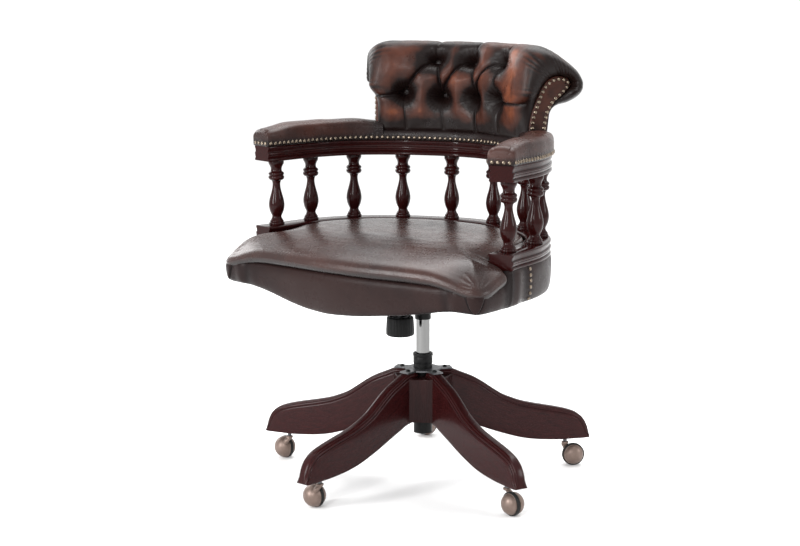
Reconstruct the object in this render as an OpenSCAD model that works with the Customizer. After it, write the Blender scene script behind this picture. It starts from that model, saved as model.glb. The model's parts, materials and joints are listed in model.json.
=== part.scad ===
// Swivel captain's chair: timber star base on ball castors, gas-lift column,
// tilt mechanism, leather seat, turned spindles, bow arm and deep-buttoned roll back.
// Millimetres. Origin on the swivel axis at floor level, +Z up, sitter faces -Y.

/* [Base] */
// Radius of the leg tips
leg_r = 348; // [340:1:352]
// Thickness of each timber leg
leg_t = 27; // [24:1:30]
// Angle of the first leg
leg_a0 = 266.7; // [250:0.1:280]
// Radius of the castor stem circle
stem_r = 300.7; // [298:0.1:303]
// Height of the flat under the leg tips
leg_bottom = 57.5; // [57:0.5:58]
// Distance from the axis to each flat of the hub
hub_flat = 54.6; // [50:0.1:56]
// Underside of the timber hub
hub_z0 = 123; // [121:1:125]
// Top of the timber hub
hub_z1 = 209; // [205:1:212]

/* [Castors] */
// Radius of the castor wheel
wheel_r = 23; // [22.8:0.1:23.2]
// Trail of the wheel centre behind the stem
trail = 17; // [16:0.5:18]
// Radius of the castor stem
cstem_r = 4; // [3.8:0.1:4.2]

/* [Column] */
// Radius of the chrome gas cylinder
piston_r = 14; // [13.8:0.1:14.2]
// Outer radius of the column tube
tube_r = 18.8; // [18.5:0.1:18.9]
// Running clearance of round fits
run = 0.05; // [0.02:0.01:0.08]

/* [Mechanism] */
// Height of the tilt pin
tilt_z = 369; // [368:0.5:370]
// Front to back place of the tilt pin
tilt_y = -30; // [-31:0.5:-29]
// Front to back place of the tension knob
knob_y = -74; // [-75:0.5:-73]
// Turns of the tension spring
spring_turns = 5; // [4:1:6]

/* [Seat] */
// Half width of the seat rail and the bow
half_w = 24.25; // [23:0.25:25]
// Underside of the seat border
border_z0 = 401; // [401:0.5:402]
// Depth of the middle of the front apron below the border
apron_drop = 33; // [25:1:36]
// Underside of the seat rail
rail_z0 = 470; // [469:0.5:471]
// Top of the seat rail
rail_z1 = 499.3; // [499:0.1:500]

/* [Arms] */
// Underside of the arm bow
bow_z0 = 631; // [630:0.5:632]
// Top of the arm bow
bow_z1 = 661; // [660:0.5:662]
// Top of the arm pads
pad_z1 = 700; // [696:1:704]
// Radius of the spindle tenons
tenon_r = 8; // [7:0.5:9]

/* [Nails] */
// Distance between nails
nail_pitch = 11; // [10:0.5:14]
// Radius of a nail head
nail_r = 3.8; // [3.4:0.1:4.6]

/* [Hidden] */
$fn = 48;
e = 0.01;
MAHOG = [0.26, 0.09, 0.08];
OXBLOOD = [0.24, 0.10, 0.07];
BRONZE = [0.42, 0.36, 0.30];
STEEL = [0.55, 0.55, 0.56];
BLACK = [0.06, 0.06, 0.06];
BRASS = [0.45, 0.36, 0.24];

function leg_a(k) = leg_a0 + 72 * (k - 1);
// Which way each castor trails at rest
castor_a = [168, 345, 45, 200, 167];

// ---- centreline of the bow, a smooth curve through round points ----
HALF = [[0,174],[53,168],[150,130],[229,66],[270,-21],[283,-114],[290,-150],[300,-187]];
CTRL = concat([for (i = [7:-1:1]) [-HALF[i][0], HALF[i][1]]], HALF);
function cr(a, b, c, d, t) = 0.5 * (2*b + (c-a)*t + (2*a-5*b+4*c-d)*t*t + (3*b-a-3*c+d)*t*t*t);
function seg(u) = max(0, min(11, floor(u)));
// Point on the centreline, u from 0 (right arm end) over 6 (back) to 12 (left arm end)
function pt(u) = let (i = seg(u)) cr(CTRL[i], CTRL[i+1], CTRL[i+2], CTRL[i+3], u - i);
function dir(u) = let (q = pt(min(12, u + 0.02)) - pt(max(0, u - 0.02))) q / norm(q);
function nor(u) = [-dir(u)[1], dir(u)[0]];
function off(u, d) = pt(u) + nor(u) * d;
function strip(u0, u1, di, do, n) = concat(
    [for (i = [0:n]) off(u0 + (u1-u0)*i/n, do)],
    [for (i = [n:-1:0]) off(u0 + (u1-u0)*i/n, di)]);
module band(u0, u1, di, do, z0, z1, n) {
    translate([0, 0, z0]) linear_extrude(z1 - z0) polygon(strip(u0, u1, di, do, n));
}
// Cumulative length along an offset of the bow, as [length, u] pairs
function acc(v, i = 0, s = 0, out = []) = i >= len(v) ? out :
    acc(v, i + 1, s + (i == 0 ? 0 : norm(v[i] - v[i-1])), concat(out, [s + (i == 0 ? 0 : norm(v[i] - v[i-1]))]));
function arc_table(d, n = 120) = let (v = [for (i = [0:n]) off(12*i/n, d)], s = acc(v))
    [for (i = [0:n]) [s[i], 12*i/n]];

// ---- seat plan ----
FRONT = [[313,-150],[313,-195],[313,-224],[307,-241],[290,-250],[250,-254],[180,-259],[100,-266]];
function seat_plan(o) = concat(
    [for (i = [0:36]) off(12*i/36, half_w - o)],
    [for (p = FRONT) [p[0] - o, p[1] + (p[1] < -235 ? o : 0)]],
    [[0, -270 + o]],
    [for (i = [len(FRONT)-1:-1:0]) [-FRONT[i][0] + o, FRONT[i][1] + (FRONT[i][1] < -235 ? o : 0)]]);

// ---- base ----
module base_hub() color(MAHOG) difference() {
    translate([0, 0, hub_z0]) rotate([0, 0, leg_a0]) cylinder(r = hub_flat / cos(36), h = hub_z1 - hub_z0, $fn = 5);
    translate([0, 0, hub_z0 - 1]) cylinder(r = tube_r + run, h = 200);
    for (k = [1:5]) rotate([0, 0, leg_a(k)]) translate([30, -leg_t/2, hub_z0 - 1]) cube([60, leg_t, 100]);
}
LEG_TOP = [[30,219],[56,218],[80,209],[105,198],[125,186],[145,172],[165,159],[185,150],[205,142],
    [230,136],[258,130],[285,124],[305,118.5],[322,111.5],[336,100],[345,84],[349.5,68],[351,60.5]];
LEG_BOT = [[346,59],[318,57.5],[285,57.5],[250,60],[200,68],[167,78],[140,88],[115,97],[60,117],[30,121]];
function smooth(v, m) = concat([for (i = [0:len(v)-2], j = [0:m-1])
    cr(v[max(0,i-1)], v[i], v[i+1], v[min(len(v)-1,i+2)], j/m)], [v[len(v)-1]]);
module leg(k) color(MAHOG) rotate([0, 0, leg_a(k)]) difference() {
    rotate([90, 0, 0]) translate([0, 0, -leg_t/2]) linear_extrude(leg_t)
        polygon([for (p = concat(smooth(LEG_TOP, 2), LEG_BOT)) [p[0] > 300 ? p[0] + leg_r - 348 : p[0], p[1]]]);
    translate([stem_r, 0, leg_bottom - 5]) cylinder(r = 6.05, h = 40);
    translate([45, 0, 199]) cylinder(r = 2.05, h = 30);
}
module hub_plate() color(STEEL) difference() {
    union() {
        translate([0, 0, 219.1]) cylinder(r = 36, h = 2.9);
        for (k = [1:5]) rotate([0, 0, leg_a(k)]) translate([20, -11, 219.1]) cube([38, 22, 2.9]);
    }
    translate([0, 0, 210]) cylinder(r = tube_r + run, h = 30);
    for (k = [1:5]) rotate([0, 0, leg_a(k)]) translate([45, 0, 210]) cylinder(r = 2.1, h = 30);
}
module plate_screws() color(BLACK) for (k = [1:5]) rotate([0, 0, leg_a(k)]) translate([45, 0, 0]) {
    translate([0, 0, 202]) cylinder(r = 2, h = 21);
    translate([0, 0, 222]) cylinder(r1 = 4.4, r2 = 3, h = 2.4);
}
module castor_sockets() color(STEEL) for (k = [1:5]) rotate([0, 0, leg_a(k)]) translate([stem_r, 0, 0]) difference() {
    union() {
        translate([0, 0, leg_bottom]) cylinder(r = 6, h = 34);
        translate([0, 0, leg_bottom - 1.2]) cylinder(r = 8, h = 1.2);
    }
    translate([0, 0, 50]) cylinder(r = cstem_r + 0.03, h = 60);
}
module column_tube() color(BLACK) difference() {
    translate([0, 0, 90]) cylinder(r = tube_r, h = 142);
    translate([0, 0, 93]) cylinder(r = 16.5, h = 150);
    translate([0, 0, 80]) cylinder(r = 5 + run, h = 30);
}
module column_bush() color(BLACK) difference() {
    union() {
        translate([0, 0, 172]) cylinder(r = 16.45, h = 61);
        translate([0, 0, 232]) cylinder(r = 19.4, h = 15);
        translate([0, 0, 247]) cylinder(r = 20, h = 6);
    }
    translate([0, 0, 160]) cylinder(r = piston_r + run, h = 120);
}
module piston_rod() color(STEEL) union() {
    translate([0, 0, 84]) cylinder(r = 5, h = 136);
    translate([0, 0, 215]) cylinder(r = 9.9, h = 10);
}
module column_clip() color(STEEL) difference() {
    translate([0, 0, 87]) cylinder(r = 9, h = 2.8);
    translate([0, 0, 80]) cylinder(r = 5 + run, h = 20);
}
module gas_cylinder() color([0.75, 0.75, 0.76]) difference() {
    translate([0, 0, 150]) cylinder(r = piston_r, h = 206);
    translate([0, 0, 140]) cylinder(r = 5 + run, h = 40);
    translate([0, 0, 160]) cylinder(r = 10, h = 170);
    translate([0, 0, 337]) cylinder(r = 3 + run, h = 30);
}
module release_pin() color(STEEL) translate([0, 0, 341]) cylinder(r = 3, h = 22);

// ---- tilt mechanism ----
module tilt_housing() color(BLACK) difference() {
    union() {
        translate([-45, -92, 357]) cube([90, 140, 3]);
        for (s = [-1, 1]) translate([s > 0 ? 42 : -45, -92, 357]) cube([3, 140, 23]);
        translate([-45, -92, 357]) cube([90, 3, 23]);
        translate([0, 0, 322]) cylinder(r = 16.2, h = 37);
        for (s = [-1, 1]) translate([24, s > 0 ? 9 : -12, 357]) cube([12, 3, 16]);
    }
    translate([0, 0, 300]) cylinder(r = piston_r + run, h = 80);
    translate([0, knob_y, 350]) cylinder(r = 10, h = 20);
    translate([-60, tilt_y, tilt_z]) rotate([0, 90, 0]) cylinder(r = 5 + run, h = 120);
    translate([30, -20, 365.8]) rotate([-90, 0, 0]) cylinder(r = 2 + run, h = 40);
    translate([40, -9.5, 360]) cube([10, 19, 30]);
}
module tilt_pin() color(STEEL) translate([-51.5, tilt_y, tilt_z]) rotate([0, 90, 0]) union() {
    cylinder(r = 5, h = 103);
    cylinder(r = 7.5, h = 2);
    translate([0, 0, 101]) cylinder(r = 7.5, h = 2);
}
module lever_pin() color(STEEL) translate([30, -12.5, 365.8]) rotate([-90, 0, 0]) cylinder(r = 2, h = 25);
module stop_bumper() color(BLACK) for (s = [-1, 1]) translate([s*30 - 6, -87, 360]) cube([12, 10, 35.7]);
module tension_spring() color(STEEL) {
    n = 12 * spring_turns; m = 8; R = 15; w = 1.9; z0 = 313.3; z1 = 354.4;
    pts = [for (i = [0:n], j = [0:m-1]) let (a = 30*i, b = 360*j/m, r = R + w*cos(b))
        [r*cos(a), knob_y + r*sin(a), z0 + (z1-z0)*i/n + w*sin(b)]];
    faces = concat([[for (j = [0:m-1]) j]], [[for (j = [m-1:-1:0]) n*m + j]],
        [for (i = [0:n-1], j = [0:m-1]) [i*m + j, (i+1)*m + j, (i+1)*m + (j+1)%m, i*m + (j+1)%m]]);
    polyhedron(pts, faces);
}
LEVER = [[-5,363.4],[44,363.4],[52,360.5],[61,351.5],[70,347],[112,347],[112,353.5],[76,353.5],
    [69,356],[58,365.5],[46,368.4],[-5,368.4]];
module height_lever() color(BLACK) difference() {
    union() {
        translate([0, 7, 0]) rotate([90, 0, 0]) linear_extrude(14) polygon(LEVER);
        translate([104, -14, 347]) cube([36, 28, 6.5]);
    }
    translate([30, -20, 365.8]) rotate([-90, 0, 0]) cylinder(r = 2 + run, h = 40);
}
module tension_knob() color(BLACK) difference() {
    translate([0, knob_y, 300]) cylinder(r1 = 28, r2 = 26, h = 38);
    translate([0, knob_y, 311]) cylinder(r = 20, h = 40);
    translate([0, knob_y, 303.5]) cylinder(r = 5 + run, h = 20);
}

// ---- seat ----
BOLTS = [[-60,-60],[60,-60],[-60,75],[60,75]];
module tilt_plate() color(BLACK) difference() {
    union() {
        translate([-78, -95, 396]) cube([156, 190, 3.5]);
        for (s = [-1, 1]) translate([s > 0 ? 46 : -49, tilt_y - 12, tilt_z - 11]) cube([3, 24, 39]);
    }
    translate([-60, tilt_y, tilt_z]) rotate([0, 90, 0]) cylinder(r = 5 + run, h = 120);
    for (b = BOLTS) translate([b[0], b[1], 380]) cylinder(r = 3.2, h = 30);
}
module tension_bolt() color(STEEL) translate([0, knob_y, 0]) union() {
    translate([0, 0, 304]) cylinder(r = 5, h = 90);
    translate([0, 0, 390]) cylinder(r = 9, h = 6);
}
module mech_bolts() color(STEEL) for (b = BOLTS) translate([b[0], b[1], 0]) union() {
    translate([0, 0, 390.5]) cylinder(r = 6, h = 5.5, $fn = 6);
    translate([0, 0, 395]) cylinder(r = 3, h = 17);
}
module seat_board() color([0.6, 0.48, 0.33]) difference() {
    translate([0, 0, 401]) linear_extrude(15) polygon(seat_plan(16));
    for (b = BOLTS) translate([b[0], b[1], 390]) cylinder(r = 3.1, h = 23);
    translate([-400, -340.7, 390]) cube([800, 100, 40]);
}
module dust_cover() color(BLACK) difference() {
    translate([0, 0, 399.8]) linear_extrude(1) polygon(seat_plan(22));
    for (b = BOLTS) translate([b[0], b[1], 390]) cylinder(r = 3.3, h = 23);
    translate([-400, -340.7, 390]) cube([800, 100, 40]);
}
function smoothstep(a, b, x) = let (t = max(0, min(1, (x-a)/(b-a)))) t*t*(3 - 2*t);
module seat_border() color(OXBLOOD) union() {
    difference() {
        translate([0, 0, border_z0]) linear_extrude(rail_z0 - 0.3 - border_z0) polygon(seat_plan(0));
        translate([0, 0, border_z0 - 5]) linear_extrude(416.2 - border_z0 + 5) polygon(seat_plan(15.7));
        translate([-400, -400, 446]) cube([800, 247.5, 60]);
    }
    translate([0, -241, 0]) rotate([90, 0, 0]) linear_extrude(14) polygon(concat(
        [for (i = [-12:12]) [18*i, 401 - apron_drop * (1 - smoothstep(70, 215, abs(18*i)))]],
        [[216, 404], [-216, 404]]));
}
module seat_cushion() color([0.30, 0.13, 0.11]) union() {
    band_in = 25;
    translate([0, 0, rail_z0]) linear_extrude(28) polygon(concat([for (i = [0:36]) off(12*i/36, -band_in)], [[262,-190],[-262,-190]]));
    translate([0, 0, 446.3]) linear_extrude(40) polygon(concat([[309,-155.8],[310,-190],[310,-224],[305,-241],[288,-250],[250,-256],[180,-263],[90,-271],[0,-274]],
        [[-90,-271],[-180,-263],[-250,-256],[-288,-250],[-305,-241],[-310,-224],[-310,-190],[-309,-155.8]]));
    translate([0, 0, 480]) linear_extrude(23) polygon(concat([for (i = [0:36]) off(12*i/36, -band_in - 30)], [[240,-205],[100,-222],[-100,-222],[-240,-205]]));
}
module moulded(z0, z1) {
    h = z1 - z0;
    union() {
        band(0, 12, -half_w, half_w, z0, z0 + h*0.16, 36);
        band(0, 12, -half_w + 1.8, half_w - 1.8, z0 + h*0.16, z0 + h*0.34, 36);
        band(0, 12, -half_w + 0.4, half_w - 0.4, z0 + h*0.34, z0 + h*0.60, 36);
        band(0, 12, -half_w + 1.8, half_w - 1.8, z0 + h*0.60, z0 + h*0.78, 36);
        band(0, 12, -half_w, half_w, z0 + h*0.78, z1, 36);
    }
}
// Spindle feet, from the left arm round the back to the right arm
SPINDLES = [[283,-115],[271,-9],[232,70],[156,127],[52.6,168],
    [-52.6,168],[-150,129],[-233,70],[-273,-21],[-284,-114]];
module seat_rail() color(MAHOG) difference() {
    moulded(rail_z0, rail_z1);
    for (p = SPINDLES) translate([p[0], p[1], rail_z1 - 12]) cylinder(r = tenon_r + run, h = 20);
}
module arm_bow() color(MAHOG) difference() {
    moulded(bow_z0, bow_z1);
    for (p = SPINDLES) translate([p[0], p[1], bow_z0 - 8]) cylinder(r = tenon_r + run, h = 20);
}
SPIN = [[15.3,0],[15.5,3.5],[14.2,5.8],[13.5,8],[11.4,11.5],[9.6,15],[9.8,18],[12.2,23],[14.6,30],
    [15.8,38],[15.2,47],[13.3,56],[10.4,66],[8.4,76],[7.8,81],[8.6,88],[9.2,91],[12.6,93],[15.4,96],[15.8,99],
    [14.8,102],[15.8,105],[14.6,108],[11.6,110],[11,113],[12.4,118.5],[15,123.5],[15.6,127],[15.3,131.5]];
module spindle(k) color(MAHOG) let (p = SPINDLES[k-1], h = bow_z0 - rail_z1 - 0.2, q = h / 131.5)
    translate([p[0], p[1], rail_z1 + 0.1]) union() {
        rotate_extrude() polygon(concat([[0,0]], [for (s = SPIN) [s[0], s[1]*q]], [[0, h]]));
        translate([0, 0, -11.8]) cylinder(r = tenon_r, h = 12);
        translate([0, 0, h - 1]) cylinder(r = tenon_r, h = 12.7);
    }

// ---- arms and back ----
module arm_pad_left() color(OXBLOOD) union() {
    band(8.5, 12, -26, 26, bow_z1 + 0.1, pad_z1 - 8, 18);
    band(8.5, 11.98, -24, 24, pad_z1 - 9, pad_z1, 18);
}
module arm_pad_right() mirror([1, 0, 0]) arm_pad_left();
module back_band() color(OXBLOOD) difference() {
    band(3.51, 8.49, -26, 26, bow_z1 + 0.1, 686, 24);
    band(3.55, 8.45, 7.7, 20.3, bow_z1 - 5, 700, 24);
}
module back_frame() color([0.6, 0.48, 0.33]) band(3.6, 8.4, 8, 20, bow_z1 + 0.1, 800, 24);
// Section of the roll back: height from, height to, inner offset, outer offset
ROLL = [[686.1,702,-11,25],[702,730,-22,29],[730,747,-31,36],[747,760,-32,72],[760,800,-30,94],
    [800,822,-25,88],[822,842,-20,62],[842,858,-12,28]];
module back_cushion() color(OXBLOOD) difference() {
    union() for (r = ROLL) band(3.51, 8.49, r[2], r[3], r[0], r[1] + (r[1] < 850 ? e : 0), 24);
    band(3.55, 8.45, 7.7, 20.3, 680, 800.3, 24);
}
FACING = [[-9,703],[-7,730],[0,752],[8,774],[20,795],[38,806],[60,805],[75,797],[76,786],[62,766],[44,753],[31,735],[25,703]];
module back_facing_left() color(OXBLOOD) let (c = pt(8.5), a = atan2(nor(8.5)[1], nor(8.5)[0]))
    translate([c[0], c[1], 0]) rotate([0, 0, a]) translate([0, -0.5, 0]) rotate([90, 0, 0]) linear_extrude(5) polygon(FACING);
module back_facing_right() mirror([1, 0, 0]) back_facing_left();
// Buttons of the roll: place along the bow, offset, height
BUTTONS = [[4.68,-20,833],[5.94,-20,832],[7.45,-20,832],[4.07,-30,757],[4.86,-30,749],[6.34,-30,749],[7.38,-30,750]];
module back_buttons() color(OXBLOOD) for (b = BUTTONS) let (p = off(b[0], b[1]), a = atan2(nor(b[0])[1], nor(b[0])[0]))
    translate([p[0], p[1], b[2]]) rotate([0, 0, a]) rotate([0, -90, 0]) translate([0, 0, -4]) cylinder(r = 8.5, h = 7);

// ---- nails ----
module nail() rotate([0, 90, 0]) translate([0, 0, -0.4]) cylinder(r1 = nail_r, r2 = nail_r - 1.6, h = 2.4, $fn = 24);
function nail_count(s) = floor((s - 8) / nail_pitch);
FN = [[-4,708],[-1,728],[6,748],[14,769],[25,788],[43,799.5],[65,797],[69,788],[54,771],[37,757],[25,737],[20,716],[18.5,706]];
FN_T = let (s = acc(FN)) [for (i = [0:len(FN)-1]) [s[i], i]];
function fn_at(x) = let (i = lookup(x, FN_T), k = min(len(FN)-2, floor(i))) FN[k] + (FN[k+1] - FN[k]) * (i - k);
module upholstery_nails() color(BRASS) {
    for (d = [-26, 26]) let (t = arc_table(d), s = t[120][0], n = nail_count(s))
        for (i = [0:n]) let (u = lookup(4 + (s - 8) * i / n, t), p = off(u, d), m = nor(u) * sign(d))
            translate([p[0], p[1], 667]) rotate([0, 0, atan2(m[1], m[0])]) nail();
    for (s = [-1, 1]) {
        for (i = [-1.5:1:1.5]) let (p = off(s > 0 ? 12 : 0, i * 11.5), m = dir(s > 0 ? 12 : 0) * s)
            translate([p[0], p[1], 667]) rotate([0, 0, atan2(m[1], m[0])]) nail();
        let (c = pt(8.5), a = atan2(nor(8.5)[1], nor(8.5)[0]), L = FN_T[len(FN)-1][0], n = floor(L / 10.8))
            mirror([s > 0 ? 0 : 1, 0, 0]) translate([c[0], c[1], 0]) rotate([0, 0, a])
                for (i = [0:n]) let (q = fn_at(L * i / n)) translate([q[0], -5.5, q[1]]) rotate([0, 0, -90]) nail();
        for (i = [0:5]) let (p = off(s > 0 ? 10.54 : 1.46, half_w), m = nor(s > 0 ? 10.54 : 1.46))
            translate([p[0], p[1], 406 + 11.5 * i]) rotate([0, 0, atan2(m[1], m[0])]) nail();
    }
}

// ---- castors, drawn about their own stem with the wheel trailing along +X ----
module at_castor(k) rotate([0, 0, leg_a(k)]) translate([stem_r, 0, 0]) rotate([0, 0, castor_a[k-1] - leg_a(k)]) children();
module castor_hood(k) color(BRONZE) at_castor(k) difference() {
    union() {
        translate([trail, 0.4, wheel_r]) rotate([-90, 0, 0]) rotate_extrude() polygon([[0,0],[21.6,0],[21.4,4],[20,9],[17,14],[12,18.4],[6,20.6],[0,21.2]]);
        translate([0, 0, 45.6]) cylinder(r = 7.5, h = 4.4);
        intersection() {
            translate([0, 0, 30]) cylinder(r = 7.5, h = 18);
            translate([-20, 0.4, 20]) cube([40, 20, 40]);
        }
        translate([0, 0, 48]) cylinder(r = cstem_r, h = 42);
        translate([trail, 1, wheel_r]) rotate([90, 0, 0]) cylinder(r = 3, h = 12);
    }
    translate([trail, 0.4 - e, wheel_r]) rotate([-90, 0, 0]) difference() {
        cylinder(r = 18, h = 9);
        translate([0, 0, -1]) cylinder(r = 6, h = 20);
    }
}
module castor_wheel(k) color(BRONZE) at_castor(k) difference() {
    translate([trail, 0, wheel_r]) rotate([90, 0, 0]) rotate_extrude() polygon([[0,0],[22.4,0],[23,1],[23,6],[22.2,7.2],[21.4,7.4],[20.6,9.5],[18,13.6],[13,17.6],[6,20.2],[0,20.8]]);
    translate([trail, 1, wheel_r]) rotate([90, 0, 0]) cylinder(r = 3 + run, h = 13);
}

base_hub();
leg(1);  // leg_1
leg(2);  // leg_2
leg(3);  // leg_3
leg(4);  // leg_4
leg(5);  // leg_5
hub_plate();
plate_screws();
castor_sockets();
column_tube();
column_bush();
piston_rod();
column_clip();
gas_cylinder();
release_pin();
tilt_housing();
tilt_pin();
lever_pin();
stop_bumper();
tension_spring();
height_lever();
tension_knob();
tilt_plate();
tension_bolt();
mech_bolts();
seat_board();
dust_cover();
seat_cushion();
seat_border();
seat_rail();
spindle(1);  // spindle_01
spindle(2);  // spindle_02
spindle(3);  // spindle_03
spindle(4);  // spindle_04
spindle(5);  // spindle_05
spindle(6);  // spindle_06
spindle(7);  // spindle_07
spindle(8);  // spindle_08
spindle(9);  // spindle_09
spindle(10);  // spindle_10
arm_bow();
arm_pad_left();
arm_pad_right();
back_band();
back_frame();
back_cushion();
back_facing_left();
back_facing_right();
back_buttons();
upholstery_nails();
castor_hood(1);  // castor_1_hood
castor_hood(2);  // castor_2_hood
castor_hood(3);  // castor_3_hood
castor_hood(4);  // castor_4_hood
castor_hood(5);  // castor_5_hood
castor_wheel(1);  // castor_1_wheel
castor_wheel(2);  // castor_2_wheel
castor_wheel(3);  // castor_3_wheel
castor_wheel(4);  // castor_4_wheel
castor_wheel(5);  // castor_5_wheel
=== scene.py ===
import bpy, bmesh, json, math
import numpy as np
from mathutils import Vector, Matrix, noise as mnoise
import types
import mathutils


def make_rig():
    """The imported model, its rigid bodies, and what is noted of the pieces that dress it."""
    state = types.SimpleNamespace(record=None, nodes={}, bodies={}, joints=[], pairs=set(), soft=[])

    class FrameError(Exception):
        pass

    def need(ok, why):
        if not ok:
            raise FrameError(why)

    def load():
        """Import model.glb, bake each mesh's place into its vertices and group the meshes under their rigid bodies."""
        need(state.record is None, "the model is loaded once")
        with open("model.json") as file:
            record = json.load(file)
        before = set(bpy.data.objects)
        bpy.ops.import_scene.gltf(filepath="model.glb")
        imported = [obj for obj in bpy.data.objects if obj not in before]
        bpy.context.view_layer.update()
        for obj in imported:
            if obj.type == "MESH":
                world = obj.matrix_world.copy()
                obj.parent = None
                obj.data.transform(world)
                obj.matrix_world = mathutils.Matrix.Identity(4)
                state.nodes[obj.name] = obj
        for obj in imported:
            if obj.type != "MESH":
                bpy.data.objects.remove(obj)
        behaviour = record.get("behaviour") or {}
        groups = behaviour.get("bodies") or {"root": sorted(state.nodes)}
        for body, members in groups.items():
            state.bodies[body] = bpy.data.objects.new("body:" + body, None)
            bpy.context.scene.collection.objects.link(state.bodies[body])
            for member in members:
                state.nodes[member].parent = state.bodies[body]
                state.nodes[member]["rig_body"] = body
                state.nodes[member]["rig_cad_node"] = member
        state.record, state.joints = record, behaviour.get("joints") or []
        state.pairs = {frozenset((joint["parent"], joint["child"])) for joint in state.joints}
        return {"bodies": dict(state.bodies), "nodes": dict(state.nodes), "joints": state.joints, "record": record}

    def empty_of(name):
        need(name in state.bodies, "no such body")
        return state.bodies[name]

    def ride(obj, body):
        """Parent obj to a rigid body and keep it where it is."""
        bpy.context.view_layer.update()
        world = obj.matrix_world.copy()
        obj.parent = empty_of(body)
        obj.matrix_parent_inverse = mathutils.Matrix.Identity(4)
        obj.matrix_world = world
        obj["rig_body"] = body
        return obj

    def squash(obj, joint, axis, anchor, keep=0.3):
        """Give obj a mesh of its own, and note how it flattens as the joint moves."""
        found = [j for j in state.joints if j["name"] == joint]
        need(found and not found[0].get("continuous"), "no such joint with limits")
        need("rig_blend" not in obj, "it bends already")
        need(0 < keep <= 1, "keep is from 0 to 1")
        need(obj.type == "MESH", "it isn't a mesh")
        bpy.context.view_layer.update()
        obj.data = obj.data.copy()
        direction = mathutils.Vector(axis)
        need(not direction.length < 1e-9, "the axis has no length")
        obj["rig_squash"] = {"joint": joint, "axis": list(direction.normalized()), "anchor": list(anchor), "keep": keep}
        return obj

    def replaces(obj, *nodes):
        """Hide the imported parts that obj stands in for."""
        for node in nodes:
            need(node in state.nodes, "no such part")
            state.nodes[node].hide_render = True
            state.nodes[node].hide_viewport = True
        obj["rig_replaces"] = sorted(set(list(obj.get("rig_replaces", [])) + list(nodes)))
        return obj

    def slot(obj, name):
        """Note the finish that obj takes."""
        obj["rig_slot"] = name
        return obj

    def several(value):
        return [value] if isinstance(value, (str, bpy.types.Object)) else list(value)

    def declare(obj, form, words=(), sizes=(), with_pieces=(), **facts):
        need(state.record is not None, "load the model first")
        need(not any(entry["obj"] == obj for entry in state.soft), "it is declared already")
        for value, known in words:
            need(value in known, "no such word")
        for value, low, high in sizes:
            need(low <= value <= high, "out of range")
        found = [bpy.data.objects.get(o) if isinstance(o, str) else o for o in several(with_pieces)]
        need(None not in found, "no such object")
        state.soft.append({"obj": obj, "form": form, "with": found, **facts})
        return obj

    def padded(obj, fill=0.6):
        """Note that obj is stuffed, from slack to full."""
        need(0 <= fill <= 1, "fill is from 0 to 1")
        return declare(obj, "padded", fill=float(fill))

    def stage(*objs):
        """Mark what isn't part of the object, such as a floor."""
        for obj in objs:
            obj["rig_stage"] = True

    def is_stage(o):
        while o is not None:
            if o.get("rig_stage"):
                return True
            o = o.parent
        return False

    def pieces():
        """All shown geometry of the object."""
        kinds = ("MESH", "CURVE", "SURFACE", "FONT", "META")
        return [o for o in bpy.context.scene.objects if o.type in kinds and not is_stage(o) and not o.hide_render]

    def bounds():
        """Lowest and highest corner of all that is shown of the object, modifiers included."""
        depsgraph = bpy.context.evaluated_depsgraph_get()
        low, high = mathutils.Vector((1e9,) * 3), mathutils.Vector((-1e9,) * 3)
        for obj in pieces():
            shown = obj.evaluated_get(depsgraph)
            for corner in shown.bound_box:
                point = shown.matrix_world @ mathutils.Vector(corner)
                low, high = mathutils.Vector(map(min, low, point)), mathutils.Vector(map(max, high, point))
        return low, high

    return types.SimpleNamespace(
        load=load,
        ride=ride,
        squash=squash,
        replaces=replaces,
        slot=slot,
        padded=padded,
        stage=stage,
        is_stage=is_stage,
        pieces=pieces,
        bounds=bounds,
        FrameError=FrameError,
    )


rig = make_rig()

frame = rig.load()
CAD_BOX = [list(map(float, c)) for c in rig.bounds()]
RNG = np.random.RandomState(7)
scene = bpy.context.scene

# ------------------------------------------------------------------ camera
cam_data = bpy.data.cameras.new("camera")
cam = bpy.data.objects.new("camera", cam_data)
scene.collection.objects.link(cam)
AZ, EL = math.radians(37.138), math.radians(9.448)
cam.location = (2.08076, -2.74743, 1.01850)
cam.rotation_euler = (math.pi / 2 - EL, 0, AZ)
cam_data.sensor_width = 36
cam_data.lens = 79.286
cam_data.shift_x = -0.02868
cam_data.shift_y = -0.0194
cam_data.clip_end = 60
scene.camera = cam


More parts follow.
